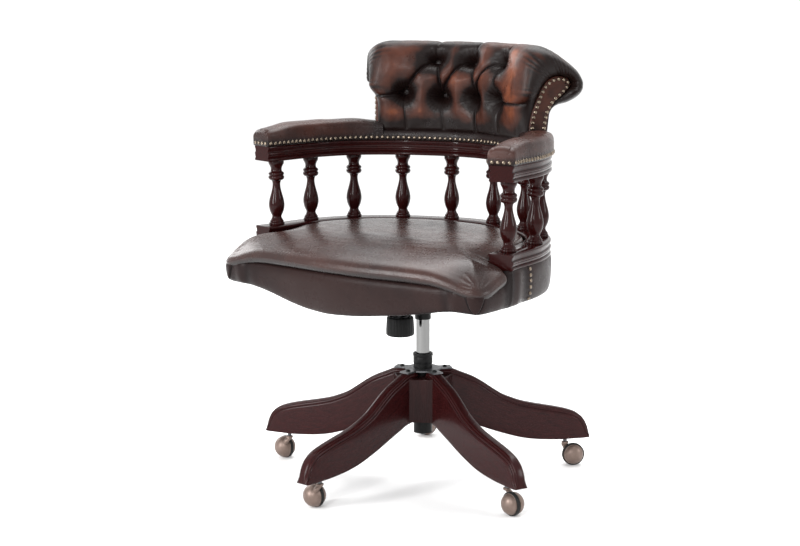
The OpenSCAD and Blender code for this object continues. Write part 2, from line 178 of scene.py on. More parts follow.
# ------------------------------------------------------------------ materials
class M:
    """A small helper for node materials."""

    def __init__(self, name):
        self.m = bpy.data.materials.new(name)
        self.m.use_nodes = True
        self.t = self.m.node_tree
        self.b = self.t.nodes["Principled BSDF"]

    def n(self, kind, **kw):
        node = self.t.nodes.new(kind)
        for k, v in kw.items():
            if hasattr(node, k) and not k.startswith("in_"):
                setattr(node, k, v)
            else:
                key = k[3:] if k.startswith("in_") else k
                key = int(key) if key.isdigit() else key.replace("_", " ")
                node.inputs[key].default_value = v
        return node

    def link(self, a, b):
        self.t.links.new(a, b)

    def set(self, **kw):
        for k, v in kw.items():
            self.b.inputs[k.replace("_", " ")].default_value = v
        return self

    def coords(self, kind="Object", scale=(1, 1, 1)):
        tc = self.n("ShaderNodeTexCoord")
        mp = self.n("ShaderNodeMapping")
        mp.inputs["Scale"].default_value = scale
        self.link(tc.outputs[kind], mp.inputs["Vector"])
        return mp.outputs["Vector"]

    def noise(self, vec, scale, detail=3.0, rough=0.55, dist=0.0):
        x = self.n("ShaderNodeTexNoise")
        x.inputs["Scale"].default_value = scale
        x.inputs["Detail"].default_value = detail
        x.inputs["Roughness"].default_value = rough
        x.inputs["Distortion"].default_value = dist
        self.link(vec, x.inputs["Vector"])
        return x.outputs["Fac"]

    def ramp(self, fac, stops):
        r = self.n("ShaderNodeValToRGB")
        el = r.color_ramp.elements
        while len(el) > 1:
            el.remove(el[0])
        el[0].position, el[0].color = stops[0][0], (*stops[0][1], 1) if not isinstance(stops[0][1], float) else (stops[0][1],) * 3 + (1,)
        for p, c in stops[1:]:
            x = el.new(p)
            x.color = (c, c, c, 1) if isinstance(c, float) else (*c, 1)
        self.link(fac, r.inputs["Fac"])
        return r.outputs["Color"]

    def math(self, op, a, b=None, c=None):
        x = self.n("ShaderNodeMath", operation=op)
        for i, v in enumerate((a, b, c)):
            if v is None:
                continue
            if isinstance(v, (int, float)):
                x.inputs[i].default_value = v
            else:
                self.link(v, x.inputs[i])
        return x.outputs[0]

    def mix(self, fac, a, b, mode="MIX"):
        x = self.n("ShaderNodeMix", data_type="RGBA", blend_type=mode)
        for s, v in ((x.inputs[0], fac), (x.inputs[6], a), (x.inputs[7], b)):
            if isinstance(v, (int, float)):
                s.default_value = v
            elif isinstance(v, tuple):
                s.default_value = (*v, 1) if len(v) == 3 else v
            else:
                self.link(v, s)
        return x.outputs[2]

    def bump(self, height, strength, distance, normal=None):
        x = self.n("ShaderNodeBump")
        x.inputs["Strength"].default_value = strength
        x.inputs["Distance"].default_value = distance
        self.link(height, x.inputs["Height"])
        if normal is not None:
            self.link(normal, x.inputs["Normal"])
        return x.outputs["Normal"]

    def attr(self, name):
        x = self.n("ShaderNodeAttribute", attribute_name=name)
        return x.outputs["Fac"]


def leather(name, dark, mid, bright, patch=9.0, bias=0.5, rough=(0.30, 0.44), coat=0.25, grain=0.00035, painted_shading=True, spec=0.15):
    g = M(name)
    v = g.coords()
    big = g.noise(v, patch, 2.0, 0.5)
    small = g.noise(v, patch * 6, 4.0, 0.6)
    f = g.math("ADD", g.math("MULTIPLY", big, 0.75), g.math("MULTIPLY", small, 0.25))
    f = g.math("ADD", f, 0.5 - bias)
    # the vertex attribute read here darkens the colour: painted shade in hollows, creases, seams and under overhangs,
    # and painted light where it is below zero
    if painted_shading:
        f = g.math("SUBTRACT", f, g.math("MULTIPLY", g.attr("painted_shading"), 0.75))
    col = g.ramp(f, [(0.16, dark), (0.40, mid), (0.62, bright)])
    vor = g.n("ShaderNodeTexVoronoi", feature="DISTANCE_TO_EDGE")
    vor.inputs["Scale"].default_value = 620
    warp = g.noise(v, 260, 2.0)
    wv = g.n("ShaderNodeVectorMath", operation="ADD")
    g.link(v, wv.inputs[0])
    sc = g.n("ShaderNodeVectorMath", operation="SCALE")
    sc.inputs["Scale"].default_value = 0.0011
    cmb = g.n("ShaderNodeCombineXYZ")
    g.link(warp, cmb.inputs[0]); g.link(warp, cmb.inputs[1]); g.link(warp, cmb.inputs[2])
    g.link(cmb.outputs[0], sc.inputs[0]); g.link(sc.outputs[0], wv.inputs[1])
    g.link(wv.outputs[0], vor.inputs["Vector"])
    cell = g.math("MINIMUM", vor.outputs["Distance"], 0.16)
    wr = g.noise(v, 120, 5.0, 0.65, 0.4)
    h = g.math("ADD", g.math("MULTIPLY", cell, 3.0), g.math("MULTIPLY", wr, 0.9))
    nrm = g.bump(h, 0.55, grain)
    col = g.mix(0.12, col, g.ramp(vor.outputs["Distance"], [(0.0, (0.35, 0.33, 0.33)), (0.12, (1.0, 1.0, 1.0))]), "MULTIPLY")
    g.link(col, g.b.inputs["Base Color"])
    r = g.ramp(g.noise(v, 45, 3.0), [(0.3, float(rough[0])), (0.7, float(rough[1]))])
    g.link(r, g.b.inputs["Roughness"])
    g.link(nrm, g.b.inputs["Normal"])
    g.set(Coat_Weight=coat, Coat_Roughness=0.22, Specular_IOR_Level=spec)
    return g.m


def wood(name, dark, light, uv=True, scale=(1.2, 26, 1), rough=0.20, coat=0.55):
    g = M(name)
    v = g.coords("UV" if uv else "Object", scale)
    n1 = g.noise(v, 3.0, 6.0, 0.62, 0.6)
    n2 = g.noise(v, 14.0, 3.0, 0.5)
    f = g.math("ADD", g.math("MULTIPLY", n1, 0.8), g.math("MULTIPLY", n2, 0.2))
    col = g.ramp(f, [(0.30, dark), (0.55, tuple(0.5 * (a + b) for a, b in zip(dark, light))), (0.75, light)])
    g.link(col, g.b.inputs["Base Color"])
    r = g.ramp(n2, [(0.3, float(rough)), (0.8, float(rough + 0.10))])
    g.link(r, g.b.inputs["Roughness"])
    g.link(g.bump(f, 0.18, 0.0002), g.b.inputs["Normal"])
    g.set(Coat_Weight=coat, Coat_Roughness=0.06, Specular_IOR_Level=0.11)
    return g.m


def metal(name, c0, c1, metallic=1.0, rough=(0.2, 0.35), scale=60, bump=0.0001, stretch=(1, 1, 1)):
    g = M(name)
    v = g.coords("Object", stretch)
    n = g.noise(v, scale, 4.0, 0.6)
    g.link(g.ramp(n, [(0.35, c0), (0.7, c1)]), g.b.inputs["Base Color"])
    g.link(g.ramp(g.noise(v, scale * 2.3, 3.0), [(0.3, float(rough[0])), (0.7, float(rough[1]))]), g.b.inputs["Roughness"])
    g.link(g.bump(g.noise(v, scale * 6, 3.0), 0.3, bump), g.b.inputs["Normal"])
    g.set(Metallic=metallic, Specular_IOR_Level=0.5 if metallic > 0.3 else 0.12)
    return g.m


MAT = {}
MAT["back"] = leather("antique_leather", (0.0060, 0.0028, 0.0024), (0.056, 0.0165, 0.0092), (0.220, 0.064, 0.026), 9.0, 0.54, (0.27, 0.36), 0.03, spec=0.15)
MAT["pad"] = leather("pad_leather", (0.0075, 0.0036, 0.0034), (0.021, 0.0088, 0.0072), (0.046, 0.0165, 0.0120), 7.0, 0.50, (0.24, 0.34), 0.03, spec=0.18)
MAT["seat"] = leather("seat_leather", (0.0075, 0.0042, 0.0040), (0.019, 0.0095, 0.0085), (0.040, 0.0165, 0.0130), 5.0, 0.50, (0.21, 0.31), 0.03, 0.00018, spec=0.27)
# a darker copy of the seat leather for the border: painted shade, as the apron gets little light from below
MAT["seat_side_shaded"] = leather("seat_side_leather", (0.0050, 0.0032, 0.0032), (0.0105, 0.0062, 0.0062), (0.019, 0.0100, 0.0092), 5.0, 0.46, (0.25, 0.34), 0.0, 0.00018, spec=0.08)
MAT["wood"] = wood("mahogany", (0.0055, 0.0010, 0.0010), (0.031, 0.0042, 0.0038), rough=0.13, coat=0.05)
MAT["wood_legs"] = wood("mahogany_legs", (0.0085, 0.0020, 0.0022), (0.038, 0.0066, 0.0066), True, (1.5, 14, 1), rough=0.22, coat=0.06)
MAT["wood_hub"] = wood("mahogany_hub", (0.0105, 0.0036, 0.0036), (0.024, 0.0068, 0.0066), False, (30, 30, 4), rough=0.24, coat=0.0)
MAT["brass"] = metal("antique_brass", (0.085, 0.066, 0.050), (0.26, 0.21, 0.16), 1.0, (0.20, 0.32), 240)
MAT["bronze"] = metal("castor_bronze", (0.135, 0.094, 0.076), (0.175, 0.125, 0.104), 0.45, (0.36, 0.46), 90)
MAT["chrome"] = metal("chrome", (0.165, 0.165, 0.163), (0.21, 0.21, 0.208), 1.0, (0.12, 0.18), 30, 0.00003, (1, 1, 0.05))
MAT["steel"] = metal("zinc_steel", (0.080, 0.080, 0.084), (0.15, 0.15, 0.155), 0.9, (0.34, 0.5), 70)
MAT["black_steel"] = metal("black_steel", (0.004, 0.004, 0.004), (0.009, 0.009, 0.009), 0.0, (0.3, 0.42), 110)
MAT["plastic"] = metal("black_plastic", (0.0035, 0.0035, 0.0035), (0.0065, 0.0065, 0.0068), 0.0, (0.32, 0.46), 400, 0.00015)
MAT["tyre"] = metal("tyre_black", (0.009, 0.009, 0.009), (0.018, 0.017, 0.016), 0.0, (0.45, 0.6), 220)
MAT["rubber"] = metal("bumper_rubber", (0.010, 0.010, 0.010), (0.017, 0.017, 0.017), 0.0, (0.6, 0.75), 200)
MAT["ply"] = wood("plywood", (0.30, 0.20, 0.11), (0.48, 0.35, 0.21), False, (4, 40, 200), 0.55, 0.0)
MAT["cloth"] = metal("cover_cloth", (0.008, 0.008, 0.008), (0.020, 0.020, 0.020), 0.0, (0.8, 0.9), 900, 0.0003)

SLOT = {"back": "back_leather", "pad": "back_leather", "seat": "seat_leather", "seat_side_shaded": "seat_leather", "wood": "mahogany", "wood_legs": "mahogany",
        "wood_hub": "mahogany", "brass": "antique_brass", "bronze": "castor_bronze", "chrome": "chrome", "steel": "grey_steel",
        "black_steel": "black_steel", "plastic": "black_plastic", "tyre": "castor_bronze", "rubber": "black_rubber",
        "ply": "plywood", "cloth": "cover_cloth"}


# ------------------------------------------------------------------ mesh tools
def add(name, verts, faces, mat, body, replaces=(), uvs=None, smooth=True, painted_shading=None):
    me = bpy.data.meshes.new(name)
    me.from_pydata([tuple(map(float, p)) for p in verts], [], [tuple(map(int, f)) for f in faces])
    if uvs is not None:
        lay = me.uv_layers.new(name="UVMap")
        li = np.zeros(len(me.loops), np.int32)
        me.loops.foreach_get("vertex_index", li)
        lay.data.foreach_set("uv", np.asarray(uvs, np.float32)[li].ravel())
    # per-vertex painted shading (mostly painted shade, a little painted light) for the leather materials
    at = me.attributes.new("painted_shading", "FLOAT", "POINT")
    at.data.foreach_set("value", np.zeros(len(verts), np.float32) if painted_shading is None else np.asarray(painted_shading, np.float32))
    me.validate()
    bm = bmesh.new(); bm.from_mesh(me)
    bmesh.ops.recalc_face_normals(bm, faces=bm.faces)
    bm.to_mesh(me); bm.free()
    if smooth:
        me.polygons.foreach_set("use_smooth", np.ones(len(me.polygons), bool))
    ob = bpy.data.objects.new(name, me)
    scene.collection.objects.link(ob)
    me.materials.append(MAT[mat])
    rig.ride(ob, body)
    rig.slot(ob, SLOT[mat])
    if replaces:
        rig.replaces(ob, *replaces)
    return ob


def sharp(ob, deg=40):
    me = ob.data
    bm = bmesh.new(); bm.from_mesh(me)
    lim = math.radians(deg)
    for e in bm.edges:
        e.smooth = not (len(e.link_faces) == 2 and e.calc_face_angle(0) > lim)
    bm.to_mesh(me); bm.free()


def grid_faces(nu, nv, loop_u=False, loop_v=True):
    f = []
    for i in range(nu if loop_u else nu - 1):
        for j in range(nv if loop_v else nv - 1):
            a, b = i * nv + j, i * nv + (j + 1) % nv
            c, d = ((i + 1) % nu) * nv + (j + 1) % nv, ((i + 1) % nu) * nv + j
            f.append((a, b, c, d))
    return f


def fan_cap(nv, base, centre):
    return [(base + j, base + (j + 1) % nv, centre) for j in range(nv)]


def closed_sweep(name, rings, mat, body, replaces=(), uvs=None, painted_shading=None, caps=True, loop_u=False):
    """rings: array (nu, nv, 3) of closed rings."""
    nu, nv = rings.shape[:2]
    verts = rings.reshape(-1, 3)
    faces = grid_faces(nu, nv, loop_u, True)
    if uvs is None:
        lu = np.concatenate([[0], np.cumsum(np.linalg.norm(np.diff(rings.mean(1), axis=0), axis=1))])
        lv = np.concatenate([[0], np.cumsum(np.linalg.norm(np.diff(rings[nu // 2], axis=0), axis=1))])
        uvs = np.stack(np.meshgrid(lu, lv, indexing="ij"), -1).reshape(-1, 2) * 10
    if caps and not loop_u:
        verts = np.vstack([verts, rings[0].mean(0), rings[-1].mean(0)])
        faces += fan_cap(nv, 0, nu * nv) + fan_cap(nv, (nu - 1) * nv, nu * nv + 1)
        uvs = np.vstack([uvs, uvs[0], uvs[-1]])
        if painted_shading is not None:
            painted_shading = np.concatenate([painted_shading, [0, 0]])
    return add(name, verts, faces, mat, body, replaces, uvs, True, painted_shading)


def crom(P, m, closed=False):
    """Catmull-Rom through P with m steps a span."""
    P = np.asarray(P, float)
    n = len(P)
    out = []
    for i in range(n if closed else n - 1):
        if closed:
            a, b, c, d = P[(i - 1) % n], P[i], P[(i + 1) % n], P[(i + 2) % n]
        else:
            a, b, c, d = P[max(0, i - 1)], P[i], P[i + 1], P[min(n - 1, i + 2)]
        for j in range(m):
            t = j / m
            out.append(0.5 * (2 * b + (c - a) * t + (2 * a - 5 * b + 4 * c - d) * t * t + (3 * b - a - 3 * c + d) * t ** 3))
    if not closed:
        out.append(P[-1])
    return np.array(out)


def resample(P, n):
    P = np.asarray(P, float)
    s = np.concatenate([[0], np.cumsum(np.linalg.norm(np.diff(P, axis=0), axis=1))])
    t = np.linspace(0, s[-1], n)
    return np.stack([np.interp(t, s, P[:, k]) for k in range(P.shape[1])], 1)


def lathe(name, prof, centre, mat, body, replaces=(), seg=48, axis=(0, 0, 1), xdir=(1, 0, 0)):
    """prof: (r, h) along axis from centre; ends on the axis are closed."""
    prof = np.asarray(prof, float)
    a = np.array(axis, float); a /= np.linalg.norm(a)
    x = np.array(xdir, float); x -= a * (x @ a); x /= np.linalg.norm(x)
    y = np.cross(a, x)
    th = np.linspace(0, 2 * np.pi, seg, endpoint=False)
    c = np.array(centre, float)
    rings = c + prof[:, None, 0:1] * (np.cos(th)[None, :, None] * x + np.sin(th)[None, :, None] * y) + prof[:, None, 1:2] * a
    lu = np.concatenate([[0], np.cumsum(np.linalg.norm(np.diff(prof, axis=0), axis=1))])
    uvs = np.stack(np.meshgrid(lu, th / (2 * np.pi) * 0.12, indexing="ij"), -1).reshape(-1, 2) * 10
    return closed_sweep(name, rings, mat, body, replaces, uvs)


# ------------------------------------------------------------------ bow curve
HALF = [(0, 174), (53, 168), (150, 130), (229, 66), (270, -21), (283, -114), (290, -150), (300, -187)]
CTRL = np.array([(-x, y) for x, y in HALF[:0:-1]] + HALF, float) / 1000


def pt(u):
    i = int(max(0, min(11, math.floor(u))))
    t = u - i
    a, b, c, d = CTRL[i:i + 4]
    return 0.5 * (2 * b + (c - a) * t + (2 * a - 5 * b + 4 * c - d) * t * t + (3 * b - a - 3 * c + d) * t ** 3)


US = np.linspace(0, 12, 2401)
CP = np.array([pt(u) for u in US])
TG = np.gradient(CP, axis=0); TG /= np.linalg.norm(TG, axis=1)[:, None]
# a little smoothing keeps the offset curves free of ripples
for _ in range(60):
    TG[1:-1] = (TG[:-2] + TG[1:-1] + TG[2:]) / 3
TG /= np.linalg.norm(TG, axis=1)[:, None]
NR = np.stack([-TG[:, 1], TG[:, 0]], 1)


def at_u(u):
    u = np.atleast_1d(u)
    c = np.stack([np.interp(u, US, CP[:, k]) for k in (0, 1)], 1)
    t = np.stack([np.interp(u, US, TG[:, k]) for k in (0, 1)], 1)
    t /= np.linalg.norm(t, axis=1)[:, None]
    return c, t, np.stack([-t[:, 1], t[:, 0]], 1)


def arc(d=0.0):
    P = CP + NR * d
    return np.concatenate([[0], np.cumsum(np.linalg.norm(np.diff(P, axis=0), axis=1))])


ARC0 = arc(0)
S_MID = np.interp(6, US, ARC0)


def u_of_s(s):
    return np.interp(s + S_MID, ARC0, US)


def s_of_u(u):
    return np.interp(u, US, ARC0) - S_MID


def sweep_points(us, d, z):
    """d, z: (nu, nv) arrays -> rings."""
    c, t, n = at_u(us)
    p = c[:, None, :] + n[:, None, :] * d[:, :, None]
    return np.concatenate([p, np.broadcast_to(z[:, :, None], d.shape + (1,))], 2)


def sm(a, b, x):
    t = np.clip((x - a) / (b - a), 0, 1)
    return t * t * (3 - 2 * t)


def vnoise(P, scale, seed=0.0):
    return np.array([mnoise.noise(Vector((float(p[0]) * scale + seed, float(p[1]) * scale - seed, float(p[2]) * scale + 2 * seed))) for p in P])


# ------------------------------------------------------------------ moulded rails
def rail_profile(hw, z0, z1):
    """Closed section of a moulded rail: beads at the foot, the middle and the top, coves between."""
    h = z1 - z0
    side = []
    for k in range(61):
        x = k / 60
        if x < 0.17:
            o = 1.1 * math.sqrt(max(0, 1 - ((x - 0.085) / 0.085) ** 2)) - 1.1
        elif x < 0.20:
            o = -2.4
        elif x < 0.40:
            o = -2.4 + 1.9 * math.sin(math.pi / 2 * (x - 0.20) / 0.20)
        elif x < 0.58:
            o = 1.2 * math.sqrt(max(0, 1 - ((x - 0.49) / 0.09) ** 2)) - 1.0
        elif x < 0.61:
            o = -2.6
        elif x < 0.80:
            o = -2.6 + 1.0 * (1 - math.cos(math.pi / 2 * (x - 0.61) / 0.19))
        elif x < 0.82:
            o = -1.6
        else:
            o = 0.9 * math.sqrt(max(0, 1 - ((x - 0.91) / 0.09) ** 2)) - 0.9
        side.append((hw + o * 1e-3, z0 + h * x))
    right = side
    left = [(-d, z) for d, z in side[::-1]]
    return np.array(right + left)


def rail(name, z0, z1, body, replaces):
    prof = rail_profile(0.02425, z0, z1)
    us = np.concatenate([[0, 0], np.interp(np.linspace(0.0012, ARC0[-1] - 0.0012, 260), ARC0, US), [12, 12]])
    d = np.repeat(prof[None, :, 0], len(us), 0)
    z = np.repeat(prof[None, :, 1], len(us), 0)
    zc = 0.5 * (z0 + z1)
    for i, k in ((0, 0.90), (1, 0.975), (-2, 0.975), (-1, 0.90)):
        d[i] *= k
        z[i] = zc + (z[i] - zc) * (k * 0.5 + 0.5)
    R = sweep_points(us, d, z)
    ob = closed_sweep(name, R, "wood", body, replaces)
    sharp(ob, 50)
    return ob


rail("arm_bow_wood", 0.631, 0.661, "seat", ["arm_bow"])
rail("seat_rail_wood", 0.470, 0.4993, "seat", ["seat_rail"])

# ------------------------------------------------------------------ spindles
SP = [(283, -115), (271, -9), (232, 70), (156, 127), (52.6, 168), (-52.6, 168), (-150, 129), (-233, 70), (-273, -21), (-284, -114)]
PROF = [(15.2, 0), (15.5, 0.9), (15.6, 2.4), (15.4, 4.2), (14.6, 5.4), (13.7, 5.8), (13.9, 6.6), (13.9, 7.8), (13.2, 9.2), (12.0, 11.0), (10.6, 13.0), (9.7, 15.2),
        (9.5, 16.8), (9.8, 18.6), (10.7, 20.8), (12.3, 24), (14.0, 28.5), (15.2, 33.5), (15.8, 38.5), (15.6, 44), (14.7, 50), (13.3, 56), (11.7, 61.5),
        (10.3, 66.5), (9.1, 71.5), (8.2, 76.5), (7.8, 80.5), (7.9, 84), (8.6, 87.2), (9.4, 89), (9.2, 89.8), (11.8, 90.6), (14.2, 92.2), (15.6, 94.4),
        (15.9, 96.8), (15.4, 98.8), (14.4, 100.0), (14.4, 100.6), (15.2, 101.6), (15.7, 103.4), (15.4, 105.2), (14.2, 106.8), (12.4, 108.0), (11.5, 109.2),
        (11.0, 111.4), (11.0, 113.2), (11.5, 116), (12.7, 119), (14.2, 121.8), (15.2, 124.0), (15.6, 126.4), (15.5, 129.4), (15.3, 131.4)]
prof = crom(np.array(PROF) / 1000, 3)
prof = np.vstack([[0, 0], prof, [0, prof[-1, 1]]])
for k, (x, y) in enumerate(SP, 1):
    lathe("spindle_%02d_turned" % k, prof * [1, 131.4 / 131.4], (x / 1000, y / 1000, 0.4995), "wood", "seat", ["spindle_%02d" % k], 56)

# ------------------------------------------------------------------ legs
LEG_A = [266.7 + 72 * k for k in range(5)]
TOP = crom(np.array([(30, 219), (56, 218.4), (80, 209), (105, 198), (125, 186), (145, 172), (165, 159), (185, 150), (205, 142.5),
                     (230, 136), (258, 130), (285, 124), (305, 118.5), (322, 111.5), (336, 100), (345, 84), (349.5, 68), (351, 60.5)], float) / 1000, 8)
BOT = crom(np.array([(30, 121), (60, 117), (88, 107), (115, 97), (140, 87.5), (167, 78), (200, 68), (225, 63), (250, 60), (285, 57.7),
                     (318, 57.6), (338, 58.0), (348.5, 59.0)], float) / 1000, 8)
NS = 120
TOPR = resample(TOP, NS)
BOTR = resample(BOT, NS)
tt = np.gradient(TOPR, axis=0); tt /= np.linalg.norm(tt, axis=1)[:, None]
tn = np.stack([-tt[:, 1], tt[:, 0]], 1)      # up normal of the top line (r, z)
# moulded top edge: (across, depth below the top line), half section
EDGE = [(0, 0.0), (4.5, 0.0), (7.0, 0.35), (8.6, 1.2), (9.2, 2.3), (9.15, 3.1), (9.9, 3.3), (11.0, 3.9), (11.9, 5.2), (12.2, 6.8), (11.9, 8.2),
        (11.5, 8.9), (12.2, 9.2), (13.0, 10.2), (13.35, 11.6), (13.5, 13.4)]
EDGE = np.array(EDGE) / 1000


def leg_mesh(k):
    a = math.radians(LEG_A[k - 1])
    er, ey = np.array([math.cos(a), math.sin(a)]), np.array([-math.sin(a), math.cos(a)])
    rings = []
    for i in range(NS):
        T, B, n = TOPR[i], BOTR[i], tn[i]
        fall = np.linalg.norm(T - B)
        k_in = min(1.0, fall / 0.020)
        half = [(y, T - n * dep * k_in) for y, dep in EDGE]
        P0 = half[-1][1]
        low = []
        for q in (0.25, 0.5, 0.75, 0.93):
            low.append((0.0135, P0 + (B - P0) * q))
        low.append((0.0129, P0 + (B - P0) * 0.985))
        low.append((0.0115, B))
        side = half + low
        ring = [(y, p) for y, p in side] + [(-y, p) for y, p in side[::-1][:]]
        ring = [r for j, r in enumerate(ring) if not (j == len(ring) - 1)]
        rings.append([(er[0] * p[0] + ey[0] * y, er[1] * p[0] + ey[1] * y, p[1]) for y, p in ring])
    R = np.array(rings)
    ob = closed_sweep("leg_%d_carved" % k, R, "wood_legs", "base", ["leg_%d" % k])
    sharp(ob, 45)
    return ob


for k in range(1, 6):
    leg_mesh(k)

# ------------------------------------------------------------------ castors
CA = [168, 345, 45, 200, 167]
HOODP = crom(np.array([(0.0, 0.9), (21.0, 0.9), (21.7, 1.4), (21.75, 3.0), (21.2, 6.5), (19.8, 10.2), (17.2, 14.0), (13.6, 17.4), (9.2, 20.0), (4.6, 21.2), (0, 21.5)], float) / 1000, 5)
CAPP = crom(np.array([(0.0, -6.9), (18.9, -6.9), (19.7, -7.3), (19.9, -8.4), (19.2, -10.8), (17.4, -14.0), (14.2, -17.0), (10.0, -19.3), (5.3, -20.6), (0, -20.9)], float) / 1000, 5)
TYREP = crom(np.array([(17.0, 0.2), (21.6, 0.2), (22.6, -0.2), (23.0, -1.2), (23.0, -5.2), (22.6, -6.3), (21.6, -6.7), (17.0, -6.7)], float) / 1000, 4)
for k in range(1, 6):
    a, c = math.radians(LEG_A[k - 1]), math.radians(CA[k - 1])
    sx, sy = 0.3007 * math.cos(a), 0.3007 * math.sin(a)
    w = (sx + 0.017 * math.cos(c), sy + 0.017 * math.sin(c), 0.023)
    ax = (-math.sin(c), math.cos(c), 0)
    hp = HOODP.copy(); hp = hp[(hp[:, 0] >= 0)]
    hood = lathe("castor_%d_dome" % k, hp, w, "bronze", "castor_%d" % k, ["castor_%d_hood" % k], 56, ax, (0, 0, 1))
    sharp(hood, 40)
    cap = lathe("castor_%d_hubcap" % k, CAPP, w, "bronze", "wheel_%d" % k, ["castor_%d_wheel" % k], 56, ax, (0, 0, 1))
    sharp(cap, 40)
    # tyre: a closed ring
    A = np.array(ax); X = np.array([0, 0, 1.0]); Y = np.cross(A, X)
    th = np.linspace(0, 2 * np.pi, 64, endpoint=False)
    rings = np.array(w) + TYREP[None, :, 0:1] * (np.cos(th)[:, None, None] * X + np.sin(th)[:, None, None] * Y) + TYREP[None, :, 1:2] * A
    closed_sweep("castor_%d_tyre" % k, rings, "tyre", "wheel_%d" % k, [], loop_u=True)
    # lug from the dome up to the stem
    T = np.array([math.cos(c), math.sin(c), 0]); S0 = np.array([sx, sy, 0])
    stations = [(0.0060, 0.0085, 0.0300, 0.0062, 0.0048), (0.0035, 0.0080, 0.0360, 0.0066, 0.0056), (0.0012, 0.0062, 0.0405, 0.0068, 0.0062),
                (0.0002, 0.0030, 0.0438, 0.0070, 0.0068), (0, 0.0006, 0.0462, 0.0072, 0.0072), (0, 0, 0.0490, 0.0072, 0.0072), (0, 0, 0.0500, 0.0064, 0.0064)]
    st = crom(np.array(stations), 4)
    th = np.linspace(0, 2 * np.pi, 32, endpoint=False)
    rings = np.array([S0 + T * s[0] + A * s[1] + np.array([0, 0, s[2]]) + np.cos(th)[:, None] * T * s[3] + np.sin(th)[:, None] * A * s[4] for s in st])
    # keep the lug on the hood's side of the wheel
    low = rings[:, :, 2] < 0.0455
    side = ((rings - S0) @ A)
    rings += np.where(low & (side < 0.0009), 0.0009 - side, 0)[:, :, None] * A
    closed_sweep("castor_%d_lug" % k, rings, "bronze", "castor_%d" % k)
    stem = lathe("castor_%d_stem" % k, np.array([(0, 0.048), (0.0040, 0.048), (0.0040, 0.0880), (0.0034, 0.0895), (0, 0.0895)]), (sx, sy, 0), "steel", "castor_%d" % k, [], 32)
    sharp(stem, 40)

# ------------------------------------------------------------------ back roll
SEC = [(-20.5, 677), (-21.5, 687), (-24, 700), (-27.5, 714), (-31, 730), (-33.8, 748), (-34, 772), (-31.5, 797), (-27, 820), (-18.5, 842), (-5, 856.5),
       (12, 860), (32, 853.5), (57, 838.5), (86, 814), (98.8, 789), (92, 766.5), (75, 753), (52, 747), (40, 740), (34.5, 727), (31.0, 706), (27.0, 677)]
FAC = [(-14, 677), (-12, 688), (-10.5, 701), (-9.0, 714), (-5.4, 731), (1.2, 750.5), (8.0, 770), (16.0, 785), (24, 795), (32, 801), (40, 804.5),
       (48, 805.5), (56, 804.5), (66, 801.5), (73.2, 795.5), (74.3, 787.5), (69, 780.5), (57.5, 769), (43, 757), (34.2, 745), (28.8, 730), (26.0, 706), (25.0, 677)]
SEC, FAC = np.array(SEC, float) / 1000, np.array(FAC, float) / 1000
sec0 = crom(SEC, 10); fac0 = crom(FAC, 10)
ls = np.concatenate([[0], np.cumsum(np.linalg.norm(np.diff(sec0, axis=0), axis=1))])
NV = 250
tv = np.linspace(0, ls[-1], NV)
sec = np.stack([np.interp(tv, ls, sec0[:, k]) for k in (0, 1)], 1)
fac = np.stack([np.interp(tv, ls, fac0[:, k]) for k in (0, 1)], 1)
VTOT = ls[-1]
bottom = 10
bt = np.linspace(0, 1, bottom + 2)[1:-1]
S_END = float(s_of_u(8.5))
NU = 300
ss = np.linspace(-S_END, S_END, NU)
# denser near both ends
ss = S_END * np.sign(ss) * (1 - (1 - np.abs(ss) / S_END) ** 1.25)
ell = S_END - np.abs(ss)
# the last 28 mm turn over through 142 degrees at the scroll head: the roll puffs out round the facing, then comes back
# to it; lower down it turns through a right angle only
TURN, A_MAX = 0.028, math.radians(142)
tt = np.clip(1 - ell / TURN, 0, 1)
big = sm(0.722, 0.775, sec[:, 1])
amax = math.pi / 2 + (A_MAX - math.pi / 2) * big
aa = tt[:, None] * amax[None, :]
w2 = 1 - (1 - np.cos(aa)) / (1 - np.cos(amax))[None, :]
out = np.sin(aa) * (TURN / np.sin(amax))[None, :]
D = fac[None, :, 0] + (sec - fac)[None, :, 0] * w2
Z = fac[None, :, 1] + (sec - fac)[None, :, 1] * w2
S2 = np.where(tt[:, None] > 0, S_END - TURN + out, np.abs(ss)[:, None]) * np.sign(ss)[:, None]
uu = u_of_s(S2.ravel())
c_u, t_u, n_u = at_u(uu)
p_u = c_u + n_u * D.reshape(-1, 1)
front = np.concatenate([p_u, Z.reshape(-1, 1)], 1).reshape(NU, NV, 3)
# surface normals
du = np.gradient(front, axis=0); dv = np.gradient(front, axis=1)
nn = np.cross(du, dv); nn /= np.maximum(np.linalg.norm(nn, axis=2), 1e-12)[:, :, None]
mid = nn[NU // 2, 60]
c_, t_, n_ = at_u([6.0])
if mid[:2] @ n_[0] > 0:
    nn = -nn
# place of every vertex in a flat pattern: length along the bow at its own offset, length round the section
Sx = ss[:, None] * (1 + 0.0 * D)
Rr = 0.26
Sx = ss[:, None] * (1 + D / Rr * 0.9)
Vy = np.broadcast_to(tv[None, :], Sx.shape)


def v_at(z, front_side=True):
    j = np.argmin(np.abs(sec[:100, 1] - z))
    return float(tv[j])


LOW = [(-0.150, 0.757), (-0.068, 0.749), (0.018, 0.749), (0.094, 0.750)]
UPP = [(-0.086, 0.833), (-0.003, 0.831), (0.102, 0.832)]
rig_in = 1 - 0.031 / Rr * 0.9
low = [(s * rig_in, v_at(z)) for s, z in LOW]
upp = [(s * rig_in, v_at(z)) for s, z in UPP]
V_TOP = v_at(0.832) + 0.20
SEGS = []   # (a, b, depth, width)


def curve_seg(a, b, bow, depth, width, n=6):
    a, b = np.array(a), np.array(b)
    q = b - a
    m = np.array([-q[1], q[0]])
    pts = [a + q * t + m * bow * 4 * t * (1 - t) for t in np.linspace(0, 1, n + 1)]
    for i in range(n):
        SEGS.append((pts[i], pts[i + 1], depth, width))


